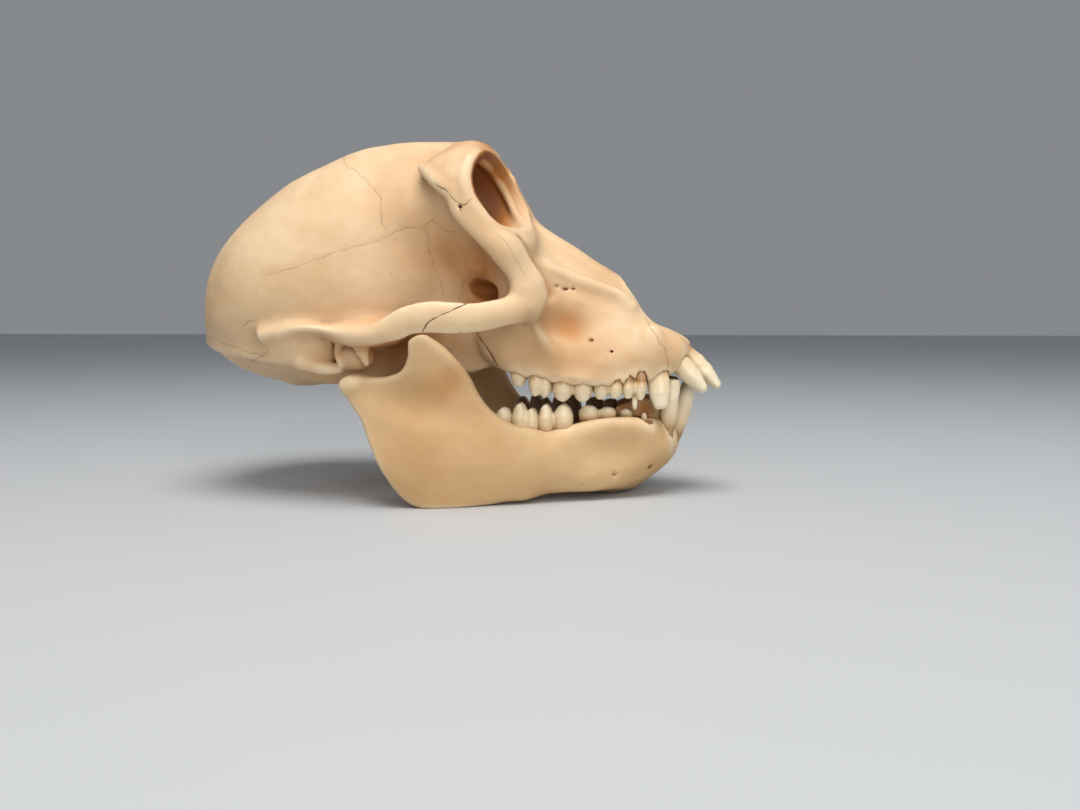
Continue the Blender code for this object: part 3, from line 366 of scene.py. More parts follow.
def sweep(rows, thin=(0.0, 1.0, 0.0), grow=0.0, per=5, upright=None):
    """Distance to an oval section carried along rows of x, y, z, half height, half thickness."""
    line = smooth_through(rows, per)
    line[:, 3:5] += grow
    thin = np.array(thin, float)

    def distance(x, y, z):
        shape = np.broadcast_shapes(x.shape, y.shape, z.shape)
        nearest = np.full(shape, 1e9, np.float32)
        place = np.zeros(shape, np.float32)
        for i in range(len(line) - 1):
            a, d = line[i, :3], line[i + 1, :3] - line[i, :3]
            dx, dy, dz = x - a[0], y - a[1], z - a[2]
            t = np.clip((dx * d[0] + dy * d[1] + dz * d[2]) / (d @ d), 0.0, 1.0)
            away = (dx - t * d[0]) ** 2 + (dy - t * d[1]) ** 2 + (dz - t * d[2]) ** 2
            closer = away < nearest
            nearest = np.where(closer, away, nearest)
            place = np.where(closer, i + t, place)
        steps = np.arange(len(line))
        tangent = np.gradient(line[:, :3], axis=0)
        tangent /= np.linalg.norm(tangent, axis=1)[:, None]
        if upright is None:
            flat = thin - (tangent @ thin)[:, None] * tangent
        else:
            flat = np.cross(upright, tangent)
        flat /= np.linalg.norm(flat, axis=1)[:, None]
        tall = np.cross(tangent, flat)

        def at(column):
            return np.interp(place, steps, column).astype(np.float32)

        p = [x - at(line[:, 0]), y - at(line[:, 1]), z - at(line[:, 2])]
        half_up, half_across = at(line[:, 3]), at(line[:, 4])
        local = [sum(p[i] * at(axis[:, i]) for i in range(3)) for axis in (tall, flat, tangent)]
        return oval(local, (half_up, half_across, np.minimum(half_up, half_across)))

    reach = line[:, 3:5].max(axis=1)[:, None]
    return distance, (line[:, :3] - reach).min(axis=0), (line[:, :3] + reach).max(axis=0)


def outline_distance(points, x, z):
    """Distance in the side view to a closed smooth outline, negative inside."""
    loop = smooth_through(points, 6, closed=True)
    nearest = np.full(np.broadcast_shapes(x.shape, z.shape), 1e9)
    inside = np.zeros(nearest.shape, bool)
    for a, b in zip(loop, np.roll(loop, -1, axis=0)):
        d = b - a
        t = np.clip(((x - a[0]) * d[0] + (z - a[1]) * d[1]) / (d @ d), 0.0, 1.0)
        nearest = np.minimum(nearest, np.hypot(x - a[0] - t * d[0], z - a[1] - t * d[1]))
        if a[1] != b[1]:
            crosses = (z < a[1]) != (z < b[1])
            inside ^= crosses & (x < a[0] + (z - a[1]) / (b[1] - a[1]) * d[0])
    return np.where(inside, -nearest, nearest)


class Field:
    """Distances to a surface on a grid, negative inside. With mirror, only y from 0 up is worked out."""

    def __init__(self, low, high, step, mirror=True):
        self.low, self.step, self.mirror = np.array(low, float), step, mirror
        self.counts = [int(round((b - a) / step)) + 1 for a, b in zip(low, high)]
        self.values = np.full(self.counts, FAR, np.float32)

    def block(self, low, high, margin):
        cuts, axes = [], []
        for i in range(3):
            first = min(max(0, int((low[i] - margin - self.low[i]) / self.step)), self.counts[i] - 3)
            last = min(self.counts[i], int((high[i] + margin - self.low[i]) / self.step) + 2)
            last = max(first + 3, last)
            cuts.append(slice(first, last))
            axis = self.low[i] + self.step * np.arange(first, last)
            shape = [1, 1, 1]
            shape[i] = -1
            axes.append(axis.astype(np.float32).reshape(shape))
        return tuple(cuts), axes

    def add(self, shape, blend=2.0):
        distance, low, high = shape
        cuts, axes = self.block(low, high, 2.0 * blend + 2.0)
        self.values[cuts] = blend_min(self.values[cuts], distance(*axes), blend)

    def cut(self, shape, blend=1.0):
        distance, low, high = shape
        cuts, axes = self.block(low, high, 2.0 * blend + 2.0)
        self.values[cuts] = blend_max(self.values[cuts], -distance(*axes), blend)

    def surface(self):
        """Points in mm and quads of the whole surface."""
        whole, start = self.values, self.low.copy()
        if self.mirror:
            whole = np.concatenate([self.values[:, :0:-1], self.values], axis=1)
            start[1] = -self.step * (self.counts[1] - 1)
        grid = openvdb.FloatGrid(FAR)
        grid.copyFromArray(np.ascontiguousarray(whole))
        points, quads = grid.convertToQuads(0.0)
        return points * self.step + start, quads


def settle(function):
    """Scales a function that is zero on a surface so that it is close to a distance there."""

    def distance(x, y, z):
        value = function(x, y, z)
        steps = [float(np.diff(axis.ravel())[0]) for axis in (x, y, z)]
        slopes = np.gradient(value, *steps)
        return value / np.maximum(np.sqrt(sum(s**2 for s in slopes)), 1e-3)

    return distance


def vault(x, y, z):
    """Braincase: the midline outline, bulging to the side widths."""
    loop = smooth_through(BRAIN_OUTLINE, 6, closed=True) - np.array(BRAIN_CENTRE)
    angles = np.arctan2(loop[:, 1], loop[:, 0])
    order = np.argsort(angles)
    dx, dz = x - BRAIN_CENTRE[0], z - BRAIN_CENTRE[1]
    radius = np.interp(np.arctan2(dz, dx), angles[order], np.hypot(loop[:, 0], loop[:, 1])[order],
                       period=2.0 * math.pi)
    width = along(BRAIN_WIDTHS, x) * (1.0 + 0.07 * np.clip((62.0 - z) / 24.0, -1.0, 1.0))
    power = 2.25
    return (np.hypot(dx, dz) / radius) ** power + (y / width) ** power - 1.0


def face(x, y, z):
    """Muzzle and cheek: side walls read from the width stations, under the line of the nose."""
    top, gum = along(NOSE_TOP, x), along(GUM_EDGE, x)
    level = np.clip((z - gum) / (top - gum), -0.2, 1.2)
    stations = sorted(FACE_WIDTHS)
    columns = [along([(s, FACE_WIDTHS[s][i]) for s in stations], x) for i in range(len(FACE_LEVELS))]
    width = columns[0] + np.zeros_like(level)
    for i in range(len(FACE_LEVELS) - 1):
        part = np.clip((level - FACE_LEVELS[i]) / (FACE_LEVELS[i + 1] - FACE_LEVELS[i]), 0.0, 1.0)
        width = width + (columns[i + 1] - columns[i]) * part
    roof = z - top + np.minimum(y, 6.5) ** 2 / 22.0
    body = blend_max(y - width, roof, 3.0)
    body = blend_max(body, gum - z, 1.5)
    body = blend_max(body, x - 70.6 + y**2 / 20.0, 2.0)
    return blend_max(body, 15.0 - x + np.maximum(0.0, z - 60.0) * 0.1, 3.0)


def soft_ramp(t, bend=4.0):
    """Nearly t where it is positive and nearly 0 where it is negative."""
    return 0.5 * (t + np.sqrt(t * t + bend * bend)) - 0.5 * bend


def slab(outline, middle, half):
    """Distance to a flat plate with the given side outline; middle and half give its y and half thickness."""

    def distance(x, y, z):
        return blend_max(outline_distance(outline, x, z), np.abs(y - middle(x, z)) - half(x, z), 2.0)

    return distance


def cranium_field(step):
    low, high = (-80.0, 0.0, 22.0), (82.0, 48.0, 108.0)
    bone = Field(low, high, step)
    box = (low, (20.0, 48.0, 108.0))
    bone.add((settle(vault), *box), 1.0)
    bone.add((settle(face), (8.0, 0.0, 28.0), (78.0, 34.0, 104.0)), 4.0)
    bone.add(sweep(BROW, (1.0, 0.2, 0.0)), 4.0)
    bone.add(sweep(ORBIT[:4], (0.0, 1.0, 0.0), ORBIT_WALL), 5.0)
    # Wall between the eye socket and the temporal gap
    bone.add(ellipsoid((8.0, 11.0, 73.0), (9.0, 16.0, 17.0), (0.0, 0.0, -25.0)), 7.0)
    # Bone behind the outer end of the brow
    bone.add(ellipsoid((-5.0, 14.4, 82.6), (12.6, 12.4, 13.4)), 7.0)
    bone.add(sweep(CHEEK_BAR, (0.25, 1.0, 0.1)), 3.0)
    bone.add(sweep(BAR_EDGE), 2.2)
    bone.add(sweep(ARCH, (0.0, 1.0, 0.0)), 4.0)
    bone.add(sweep(ORBIT_LOWER_RIM, (1.0, 0.0, 0.6)), 4.0)
    bone.add(sweep(MUZZLE_RIDGE), 3.0)
    bone.add(ellipsoid((12.0, 0.0, 66.0), (13.0, 12.5, 25.0)), 4.0)
    # Underside: the base, ear bulb, mastoid, jaw socket and the knobs beside the great hole
    bone.add(sweep(((-46.0, 0.0, 38.0, 4.5, 11.0), (-20.0, 0.0, 40.0, 4.5, 9.0),
                    (8.0, 0.0, 46.0, 5.0, 8.0))), 4.0)
    bone.add(ellipsoid((-37.0, 26.0, 43.0), (14.0, 9.5, 6.6), (12.0, 0.0, 0.0)), 4.0)
    bone.add(ellipsoid((-32.0, 20.0, 39.6), (10.0, 8.0, 6.4)), 4.0)
    bone.add(ellipsoid((-17.5, 31.0, 47.4), (10.0, 10.5, 4.0)), 4.0)
    bone.add(ellipsoid((-44.5, 9.0, 35.2), (6.0, 3.6, 3.2), (0.0, 0.0, -20.0)), 2.0)
    bone.add(sweep(((-30.0, 23.0, 39.0, 4.6, 5.6), (-20.0, 15.0, 38.6, 4.6, 5.0),
                    (-9.0, 7.0, 41.0, 4.0, 4.6)),
                   (0.0, 1.0, 0.0)), 3.0)
    bone.add(sweep(NUCHAL_RIDGE), 3.0)
    # Maxilla behind the last tooth, and the wing plate that it leans on
    bone.add(ellipsoid((17.0, 17.6, 47.0), (7.0, 4.6, 9.0)), 3.0)
    wing = slab(PTERYGOID_OUTLINE, lambda x, z: 14.6 + 0.04 * (z - 36.0) + 0.0 * x,
                lambda x, z: 1.3 + 0.05 * (z - 36.0) + 0.0 * x)
    bone.add((wing, (-5.0, 10.0, 32.0), (20.0, 22.0, 70.0)), 2.5)
    bone.add(ellipsoid((-16.0, 0.0, 52.0), (24.0, 22.0, 9.0)), 5.0)
    # Sockets of the canine and the front teeth
    bone.add(ellipsoid((59.2, 13.0, 42.0), (4.8, 4.2, 8.0), (0.0, 0.0, -20.0)), 3.0)
    bone.add(ellipsoid((65.2, 4.8, 43.8), (5.6, 5.6, 3.4), (0.0, 42.0, 0.0)), 4.0)
    bone.add(ellipsoid((63.6, 9.4, 40.6), (4.4, 4.0, 4.4)), 4.0)
    bone.add(sweep(CHEEK_ROOT), 5.0)
    # Hollows of the cheek and muzzle
    bone.cut(ellipsoid((21.6, 32.4, 42.6), (7.4, 8.6, 6.6)), 2.5)
    bone.cut(ellipsoid((39.6, 26.0, 51.4), (10.4, 9.4, 6.8)), 3.5)
    bone.cut(sweep(EYE_GROOVE), 2.0)
    bone.cut(ellipsoid((13.0, 21.0, 59.4), (5.4, 6.0, 2.8), (0.0, 12.0, 0.0)), 1.6)
    # Ear: tube, hole, the spike in front and the hollow above
    bone.cut(ellipsoid((-33.0, 42.0, 45.0), (8.0, 5.4, 3.6)), 2.0)
    bone.add(ellipsoid((-21.4, 31.8, 41.6), (5.0, 4.0, 4.3)), 1.0)
    bone.add(sweep(((-36.0, 33.4, 39.6, 1.8, 2.0), (-30.0, 33.6, 38.2, 1.9, 2.0),
                    (-26.0, 33.2, 37.8, 1.2, 1.4))), 2.5)
    bone.cut(sweep(((-27.6, 42.0, 42.6, 3.2, 1.2), (-26.8, 34.0, 42.4, 2.8, 1.0),
                    (-25.4, 28.0, 42.0, 1.4, 0.8)),
                   (1.0, 0.0, 0.0)), 0.6)
    bone.add(sweep(((-25.0, 34.8, 45.4, 0.7, 0.8), (-25.8, 35.2, 42.4, 0.8, 0.9),
                    (-24.8, 34.6, 39.2, 0.7, 0.8))), 1.2)
    bone.add(sweep(((-18.9, 36.6, 46.6, 2.9, 1.3), (-18.2, 37.0, 43.2, 2.0, 1.1),
                    (-17.0, 37.2, 39.6, 0.7, 0.7)),
                   (0.0, 1.0, 0.0)), 0.7)
    # Eye socket, nose, palate
    bone.cut(sweep(ORBIT, (0.0, 1.0, 0.0)), 1.4)
    bone.add(sweep(RIM), 1.4)
    bone.cut(ellipsoid((60.6, 0.0, 54.6), (13.5, 7.4, 6.6), (0.0, 41.0, 0.0)), 1.2)
    bone.cut(sweep(((40.0, 0.0, 53.0, 6.0, 5.0), (50.0, 0.0, 53.0, 6.5, 5.6),
                    (58.0, 0.0, 53.0, 6.5, 6.0))), 1.5)
    bone.cut(sweep(((-2.0, 0.0, 36.0, 6.0, 8.0), (12.0, 0.0, 37.0, 6.5, 10.5), (26.0, 0.0, 36.0, 6.0, 12.4),
                    (44.0, 0.0, 35.6, 6.0, 11.8), (57.0, 0.0, 35.6, 4.5, 8.5)), (0.0, 1.0, 0.0)), 2.0)
    for x, y, z, radius in CRANIUM_HOLES:
        bone.cut(ellipsoid((x, y, z), (radius * 1.3, 2.2, radius), (0.0, 0.0, 25.0)), 0.3)
    cavity = Field(low, high, step)
    cavity.add((lambda x, y, z: settle(vault)(x, y, z) + VAULT_WALL, *box), 0.5)
    cavity.cut(((lambda x, y, z: 3.0 - x + 0.0 * y + 0.0 * z), (1.0, 0.0, 22.0), high), 1.0)
    cavity.cut(((lambda x, y, z: z - 41.0 - np.clip(x + 50.0, 0.0, 60.0) * 0.12 + 0.0 * y),
                low, (84.0, 48.0, 60.0)), 3.0)
    cavity.add(ellipsoid((-56.0, 0.0, 38.0), (FORAMEN_RADIUS, FORAMEN_RADIUS, 14.0), (0.0, 30.0, 0.0)), 2.0)
    bone.values = blend_max(bone.values, -cavity.values, 1.0)
    return bone


def mandible_field(step):
    bone = Field((-30.0, 0.0, -4.0), (78.0, 48.0, 52.0), step)
    ramus = slab(RAMUS_OUTLINE,
                 lambda x, z: 34.4 - 0.36 * soft_ramp(x) - 0.16 * soft_ramp(12.0 - z),
                 lambda x, z: (RAMUS_HALF_THICKNESS + 0.9 * np.exp(-((z - 12.0) / 9.0) ** 2)
                               - 0.12 * soft_ramp(x - 10.0)))
    bone.add((ramus, (-28.0, 18.0, -4.0), (30.0, 42.0, 50.0)), 2.0)
    bone.add(sweep(JAW_BODY, upright=(0.65, 0.0, 1.0)), 6.0)
    bone.add(sweep(((-21.4, 37.6, 34.0, 1.5, 2.2), (-20.8, 33.0, 34.0, 2.0, 2.8),
                    (-20.0, 27.5, 33.4, 2.0, 2.4)),
                   (1.0, 0.0, 0.0)), 3.0)
    bone.add(ellipsoid((46.0, 0.0, 4.4), (9.0, 10.0, 5.0)), 5.0)
    bone.add(ellipsoid((61.4, 0.0, 14.6), (5.4, 11.5, 7.0), (0.0, 30.0, 0.0)), 4.0)
    # Hollows where the chewing muscle lay, beside the front teeth and inside the jaw
    bone.cut(ellipsoid((-4.0, 41.8, 30.0), (15.0, 5.8, 7.0), (0.0, 12.0, 0.0)), 2.5)
    bone.cut(ellipsoid((51.0, 28.6, 13.6), (15.0, 10.2, 9.0), (0.0, 0.0, -25.0)), 6.0)
    bone.cut(ellipsoid((57.6, 13.2, 23.6), (2.4, 2.0, 5.0)), 0.8)
    # Inner wall of the empty sockets behind the front teeth
    bone.add(sweep(((50.0, 11.0, 24.6, 2.0, 0.9), (55.0, 9.4, 25.8, 2.6, 0.9), (62.0, 6.6, 26.0, 2.8, 0.9)),
                   (0.0, 1.0, 0.0)), 1.5)
    for x, y, z, radius in MANDIBLE_HOLES:
        bone.cut(ellipsoid((x, y, z), (radius * 1.3, 2.0, radius), (0.0, 0.0, -30.0)), 0.3)
    # The flats that it stands on
    bone.cut(((lambda x, y, z: z + 0.0 * x + 0.0 * y), (-30.0, 0.0, -4.0), (78.0, 48.0, 2.0)), 0.3)
    return bone


def cheek_ridge(row, side):
    """One cross ridge of a cheek tooth: wide shoulders narrowing to a blunt edge with a cusp at each end."""
    x0, y0, gum, tip, half_length, half_width, wear = row
    up = 1.0 if tip > gum else -1.0
    height = abs(tip - gum)

    def distance(x, y, z):
        u, v, w = x - x0, side * y - y0, up * (z - gum)
        level = w / height
        long = half_length * np.interp(level, CROWN_LEVELS, CROWN_LENGTHS)
        wide = half_width * np.interp(level, CROWN_LEVELS, CROWN_WIDTHS)
        around = ((np.abs(u) / long) ** 2.3 + (np.abs(v) / wide) ** 2.3 + 1e-6) ** (1.0 / 2.3)
        body = (around - 1.0) * np.minimum(long, wide)
        valley = CUSP_VALLEY * height * np.clip(1.0 - (v / (0.6 * half_width)) ** 2, 0.0, 1.0)
        body = blend_max(body, w - height + valley + 0.9 * wear, 0.9)
        return blend_max(body, -w - 0.9 * height, 0.5)

    reach = (half_length * 1.3, half_width * 1.2, height * 1.1)
    low = (x0 - reach[0], side * y0 - reach[1], gum - reach[2])
    high = (x0 + reach[0], side * y0 + reach[1], gum + reach[2])
    return distance, low, high


def cheek_tooth(rows, side):
    """A cheek tooth: its cross ridges run into one another."""
    ridges = [cheek_ridge(row, side) for row in rows]

    def distance(x, y, z):
        body = ridges[0][0](x, y, z)
        for ridge in ridges[1:]:
            body = blend_min(body, ridge[0](x, y, z), 0.9)
        return body

    return distance, np.min([r[1] for r in ridges], axis=0), np.max([r[2] for r in ridges], axis=0)


def front_tooth(row, side):
    """A canine or incisor: a tapering root, a swollen crown and a thin edge."""
    root, tip, half_across, half_deep, edge, thin = row
    root, tip = np.array(root), np.array(tip)
    axis = tip - root
    length = np.linalg.norm(axis)
    axis = axis / length
    across = np.array((0.0, 1.0, 0.0)) - axis[1] * axis
    across /= np.linalg.norm(across)
    deep = np.cross(axis, across)
    marks = (0.0, 0.3, 0.52, 0.74, 0.9, 1.0)
    wide = (0.4, 0.72, 0.94, 1.0, 0.4 + 0.6 * edge / half_across, edge / half_across)
    depth = (0.4, 0.80, 1.0, 0.90, 0.35 + 0.65 * thin / half_deep, thin / half_deep)

    def distance(x, y, z):
        p = (x - root[0], side * y - root[1], z - root[2])
        s = sum(p[i] * axis[i] for i in range(3))
        u = sum(p[i] * across[i] for i in range(3))
        v = sum(p[i] * deep[i] for i in range(3))
        t = np.clip(s / length, 0.0, 1.0)
        a = half_across * np.interp(t, marks, wide)
        b = half_deep * np.interp(t, marks, depth)
        k0 = np.sqrt((u / a) ** 2 + (v / b) ** 2) + 1e-6
        k1 = np.sqrt((u / a**2) ** 2 + (v / b**2) ** 2) + 1e-6
        body = k0 * (k0 - 1.0) / k1
        body = blend_max(body, s - length, 1.0)
        return blend_max(body, -s, 0.6)

    ends = np.array([root * (1, side, 1), tip * (1, side, 1)])
    reach = max(half_across, half_deep) + 0.6
    return distance, ends.min(axis=0) - reach, ends.max(axis=0) + reach


def value_noise(points, size, seed):
    """Smooth noise from -1 to 1 with features of the given size."""
    lattice = np.random.default_rng(seed).uniform(-1.0, 1.0, (LATTICE, LATTICE, LATTICE))
    p = points / size
    cell = np.floor(p).astype(int)
    f = p - cell
    f = f * f * (3.0 - 2.0 * f)
    total = np.zeros(len(p))
    for i in (0, 1):
        for j in (0, 1):
            for k in (0, 1):
                weight = np.abs(1 - i - f[:, 0]) * np.abs(1 - j - f[:, 1]) * np.abs(1 - k - f[:, 2])
                q = (cell + (i, j, k)) % LATTICE
                total += weight * lattice[q[:, 0], q[:, 1], q[:, 2]]
    return total


def line_distance(rows, u, w):
    """Signed and plain distance in the side view to an open line."""
    line = smooth_through(rows, 4)
    nearest, side = np.full(u.shape, 99.0), np.ones(u.shape)
    for a, b in zip(line, line[1:]):
        d = b - a
        t = np.clip(((u - a[0]) * d[0] + (w - a[1]) * d[1]) / (d @ d), 0.0, 1.0)
        away = np.hypot(u - a[0] - t * d[0], w - a[1] - t * d[1])
        closer = away < nearest
        nearest = np.where(closer, away, nearest)
        side = np.where(closer, np.sign(d[0] * (w - a[1]) - d[1] * (u - a[0])), side)
    return nearest * side, nearest


def box_mean(values, reach):
    """Mean of each cell's neighbours within reach cells; the y = 0 face mirrors."""
    out = np.pad(values, ((reach, reach), (reach, reach), (reach, reach)), mode="edge")
    out[:, :reach] = out[:, 2 * reach:reach:-1]
    for axis in range(3):
        total = np.cumsum(out, axis=axis, dtype=np.float32)
        ahead = np.take(total, range(2 * reach, total.shape[axis]), axis=axis)
        behind = np.take(total, range(0, total.shape[axis] - 2 * reach), axis=axis)
        first = np.take(out, range(0, out.shape[axis] - 2 * reach), axis=axis)
        out = (ahead - behind + first) / (2 * reach + 1)
    return out


def sample(field, values, points):
    """Values of a grid at points, blended between cells, the same on both sides."""
    p = points.copy()
    p[:, 1] = np.abs(p[:, 1])
    p = (p - field.low) / field.step
    top = np.array(values.shape) - 2
    cell = np.clip(np.floor(p).astype(int), 0, top)
    f = np.clip(p - cell, 0.0, 1.0)
    total = np.zeros(len(p))
    for i in (0, 1):
        for j in (0, 1):
            for k in (0, 1):
                weight = np.abs(1 - i - f[:, 0]) * np.abs(1 - j - f[:, 1]) * np.abs(1 - k - f[:, 2])
                total += weight * values[cell[:, 0] + i, cell[:, 1] + j, cell[:, 2] + k]
    return total


def ease(value, start, end):
    """From 0 at start to 1 at end, smoothly."""
    t = np.clip((value - start) / (end - start), 0.0, 1.0)
    return t * t * (3.0 - 2.0 * t)


def in_frame(points):
    """Points of the tables in the frame of the solids, as one flat row."""
    return ((points - (MIDDLE_X, 0.0, 0.0)) * MM).astype(np.float32).ravel()


def make_mesh(name, points, quads, material):
    mesh = bpy.data.meshes.new(name)
    mesh.vertices.add(len(points))
    mesh.vertices.foreach_set("co", in_frame(points))
    mesh.loops.add(len(quads) * 4)
    mesh.loops.foreach_set("vertex_index", quads.astype(np.int32).ravel())
    mesh.polygons.add(len(quads))
    mesh.polygons.foreach_set("loop_start", np.arange(0, len(quads) * 4, 4, dtype=np.int32))
    mesh.update(calc_edges=True)
    mesh.validate()
    mesh.shade_smooth()
    mesh.materials.append(material)
    obj = bpy.data.objects.new(name, mesh)
    bpy.context.scene.collection.objects.link(obj)
    return obj


def read_normals(obj):
    normals = np.zeros(len(obj.data.vertices) * 3, np.float32)
    obj.data.vertices.foreach_get("normal", normals)
    return normals.reshape(-1, 3)


def attribute(obj, name, values):
    layer = obj.data.attributes.new(name, "FLOAT", "POINT")
    layer.data.foreach_set("value", np.ascontiguousarray(values, np.float32))


def node(tree, kind, **settings):
    made = tree.nodes.new(kind)
    for key, value in settings.items():
        made.inputs[key].default_value = value
    return made


def ramp(tree, source, stops):
    made = tree.nodes.new("ShaderNodeValToRGB")
    ends = made.color_ramp.elements
    while len(ends) < len(stops):
        ends.new(0.5)
    for end, (place, colour) in zip(ends, stops):
        end.position = place
        end.color = (*colour, 1.0)
    tree.links.new(source, made.inputs[0])
    return made.outputs["Color"]


def mixed(tree, amount, first, second):
    """First colour where amount is 0, second where it is 1."""
    made = tree.nodes.new("ShaderNodeMix")
    made.data_type = "RGBA"
    for socket, value in ((made.inputs[0], amount), (made.inputs[6], first), (made.inputs[7], second)):
        if isinstance(value, bpy.types.NodeSocket):
            tree.links.new(value, socket)
        elif isinstance(value, tuple):
            socket.default_value = (*value, 1.0)
        else:
            socket.default_value = value
    return made.outputs[2]


def maths(tree, operation, *values):
    made = tree.nodes.new("ShaderNodeMath")
    made.operation = operation
    for socket, value in zip(made.inputs, values):
        if isinstance(value, bpy.types.NodeSocket):
            tree.links.new(value, socket)
        else:
            socket.default_value = value
    return made.outputs[0]


def spread(tree, value, start, end, low=0.0, high=1.0):
    """Value stretched from start and end to low and high, and held there."""
    made = tree.nodes.new("ShaderNodeMapRange")
    tree.links.new(value, made.inputs["Value"])
    made.inputs["From Min"].default_value = start
    made.inputs["From Max"].default_value = end
    made.inputs["To Min"].default_value = low
    made.inputs["To Max"].default_value = high
    return made.outputs["Result"]


def noise(tree, place, scale, detail=4.0, roughness=0.55):
    made = node(tree, "ShaderNodeTexNoise", Scale=scale, Detail=detail, Roughness=roughness)
    tree.links.new(place, made.inputs["Vector"])
    return made.outputs["Fac"]


def reading(tree, name):
    made = tree.nodes.new("ShaderNodeAttribute")
    made.attribute_name = name
    return made.outputs["Fac"]


def new_material(name):
    material = bpy.data.materials.new(name)
    material.use_nodes = True
    tree = material.node_tree
    place = tree.nodes.new("ShaderNodeTexCoord").outputs["Object"]
    return material, tree, tree.nodes["Principled BSDF"], place


def rough_surface(tree, surface, height, strength, distance):
    bump = node(tree, "ShaderNodeBump", Strength=strength, Distance=distance)
    tree.links.new(height, bump.inputs["Height"])
    tree.links.new(bump.outputs["Normal"], surface.inputs["Normal"])


def bone_material(name, light, mid, deep):
    """Dry bone with painted shade in its hollows, paler on its crests, with stains and painted shade, pores,
    seams and a fine grain.
    """
    material, tree, surface, place = new_material(name)
    colour = mixed(tree, spread(tree, noise(tree, place, 34.0, 3.0), 0.36, 0.64), mid, light)
    warm = spread(tree, noise(tree, place, 14.0, 2.0, 0.6), 0.5, 0.68, 0.0, 0.35)
    colour = mixed(tree, warm, colour, WARM)
    mottle = spread(tree, noise(tree, place, 210.0, 5.0, 0.68), 0.5, 0.8, 0.0, 0.5)
    colour = mixed(tree, mottle, colour, mid)
    specks = spread(tree, noise(tree, place, 900.0, 2.0), 0.70, 0.80, 0.0, 0.4)
    colour = mixed(tree, specks, colour, deep)
    colour = mixed(tree, reading(tree, "ridge"), colour, CREST)
    # Painted shade: the deep colour where the bone lies in a hollow
    colour = mixed(tree, reading(tree, "hollow_shade"), colour, deep)
    # Stains and painted shade: brown up to strength 1, darker brown towards 2 in the deepest painted shade
    patchy = spread(tree, noise(tree, place, 120.0, 4.0, 0.6), 0.3, 0.62, 0.5, 1.0)
    stain_and_shade = reading(tree, "stain_and_shade")
    colour = mixed(tree, maths(tree, "MULTIPLY", maths(tree, "MINIMUM", stain_and_shade, 1.0), patchy), colour, STAIN_AND_SHADE_BROWN)
    colour = mixed(tree, spread(tree, stain_and_shade, 1.0, 2.0), colour, DEEP_SHADE_AND_STAIN_BROWN)
    wander = spread(tree, noise(tree, place, 420.0, 2.0), 0.3, 0.7, -0.09, 0.13)
    away = maths(tree, "ADD", maths(tree, "ABSOLUTE", reading(tree, "seam_side")), wander)
    line = maths(tree, "MULTIPLY", spread(tree, away, 0.07, 0.26, 1.0, 0.0), reading(tree, "seam_dark"))
    colour = mixed(tree, line, colour, SEAM)
    tree.links.new(colour, surface.inputs["Base Color"])
    gloss = spread(tree, noise(tree, place, 160.0, 4.0), 0.3, 0.7, 0.44, 0.66)
    tree.links.new(gloss, surface.inputs["Roughness"])
    surface.inputs["Specular IOR Level"].default_value = 0.28
    surface.inputs["Subsurface Weight"].default_value = 0.10
    surface.inputs["Subsurface Radius"].default_value = (1.0, 0.6, 0.4)
    surface.inputs["Subsurface Scale"].default_value = 0.001
    fine = maths(tree, "MULTIPLY", noise(tree, place, 700.0, 5.0, 0.72), 0.4)
    rough_surface(tree, surface, maths(tree, "SUBTRACT", fine, line), 0.4, 0.0003)
    return material


def enamel_material(name):
    """Enamel, brown at the root and cream at the tip, with painted shade on its inner faces."""
    material, tree, surface, place = new_material(name)
    colour = ramp(tree, reading(tree, "crown"), ENAMEL)
    streaks = spread(tree, noise(tree, place, 260.0, 4.0), 0.45, 0.75, 0.0, 0.45)
    colour = mixed(tree, streaks, colour, ENAMEL_STREAKS)
    colour = mixed(tree, reading(tree, "inner_shade"), colour, ENAMEL_INNER_SHADE)
    tree.links.new(colour, surface.inputs["Base Color"])
    surface.inputs["Roughness"].default_value = 0.3
    surface.inputs["Subsurface Weight"].default_value = 0.15
    surface.inputs["Subsurface Radius"].default_value = (1.0, 0.8, 0.6)
    surface.inputs["Subsurface Scale"].default_value = 0.001
    rough_surface(tree, surface, noise(tree, place, 600.0, 3.0), 0.15, 0.0002)
    return material


def teeth_piece(name, node_name, cheek, front, material):
    """All the teeth of one jaw, each on its own small grid, and their distance functions."""
    all_points, all_quads, all_crown, shapes, count = [], [], [], [], 0
    for side in (1.0, -1.0):
        made = [(cheek_tooth(rows, side), rows[0], True) for rows in cheek]
        made += [(front_tooth(row, side), row, False) for row in front]
        for shape, row, is_cheek in made:
            distance, low, high = shape
            field = Field(low, high, TOOTH_GRID, mirror=False)
            field.add(shape, 0.3)
            for axis in range(3):
                edge = np.moveaxis(field.values, axis, 0)
                edge[[0, -1]] = np.maximum(edge[[0, -1]], TOOTH_GRID)
            points, quads = field.surface()
            bumps = [value_noise(points, TOOTH_BUMP_SIZE, seed) for seed in TOOTH_BUMP_SEEDS]
            points = points + TOOTH_BUMP * np.stack(bumps, axis=1)
            if is_cheek:
                crown = (points[:, 2] - row[2]) / (row[3] - row[2])
            else:
                root, end = np.array(row[0]) * (1, side, 1), np.array(row[1]) * (1, side, 1)
                place = (points - root) @ (end - root) / ((end - root) @ (end - root))
                crown = (place - CROWN_START) / CROWN_SHARE
            all_points.append(points)
            all_quads.append(quads + count)
            all_crown.append(np.clip(crown, 0.0, 1.0))
            count += len(points)
            shapes.append(shape)
    obj = make_mesh(name, np.concatenate(all_points), np.concatenate(all_quads), material)
    attribute(obj, "crown", np.concatenate(all_crown))
    # Painted shade on the faces turned towards the middle of the mouth
    inwards = -read_normals(obj)[:, 1] * np.sign(np.concatenate(all_points)[:, 1])
    attribute(obj, "inner_shade", 0.75 * ease(inwards, 0.1, 0.7))
    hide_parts(node_name)
    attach(obj, "root")
    return obj, shapes


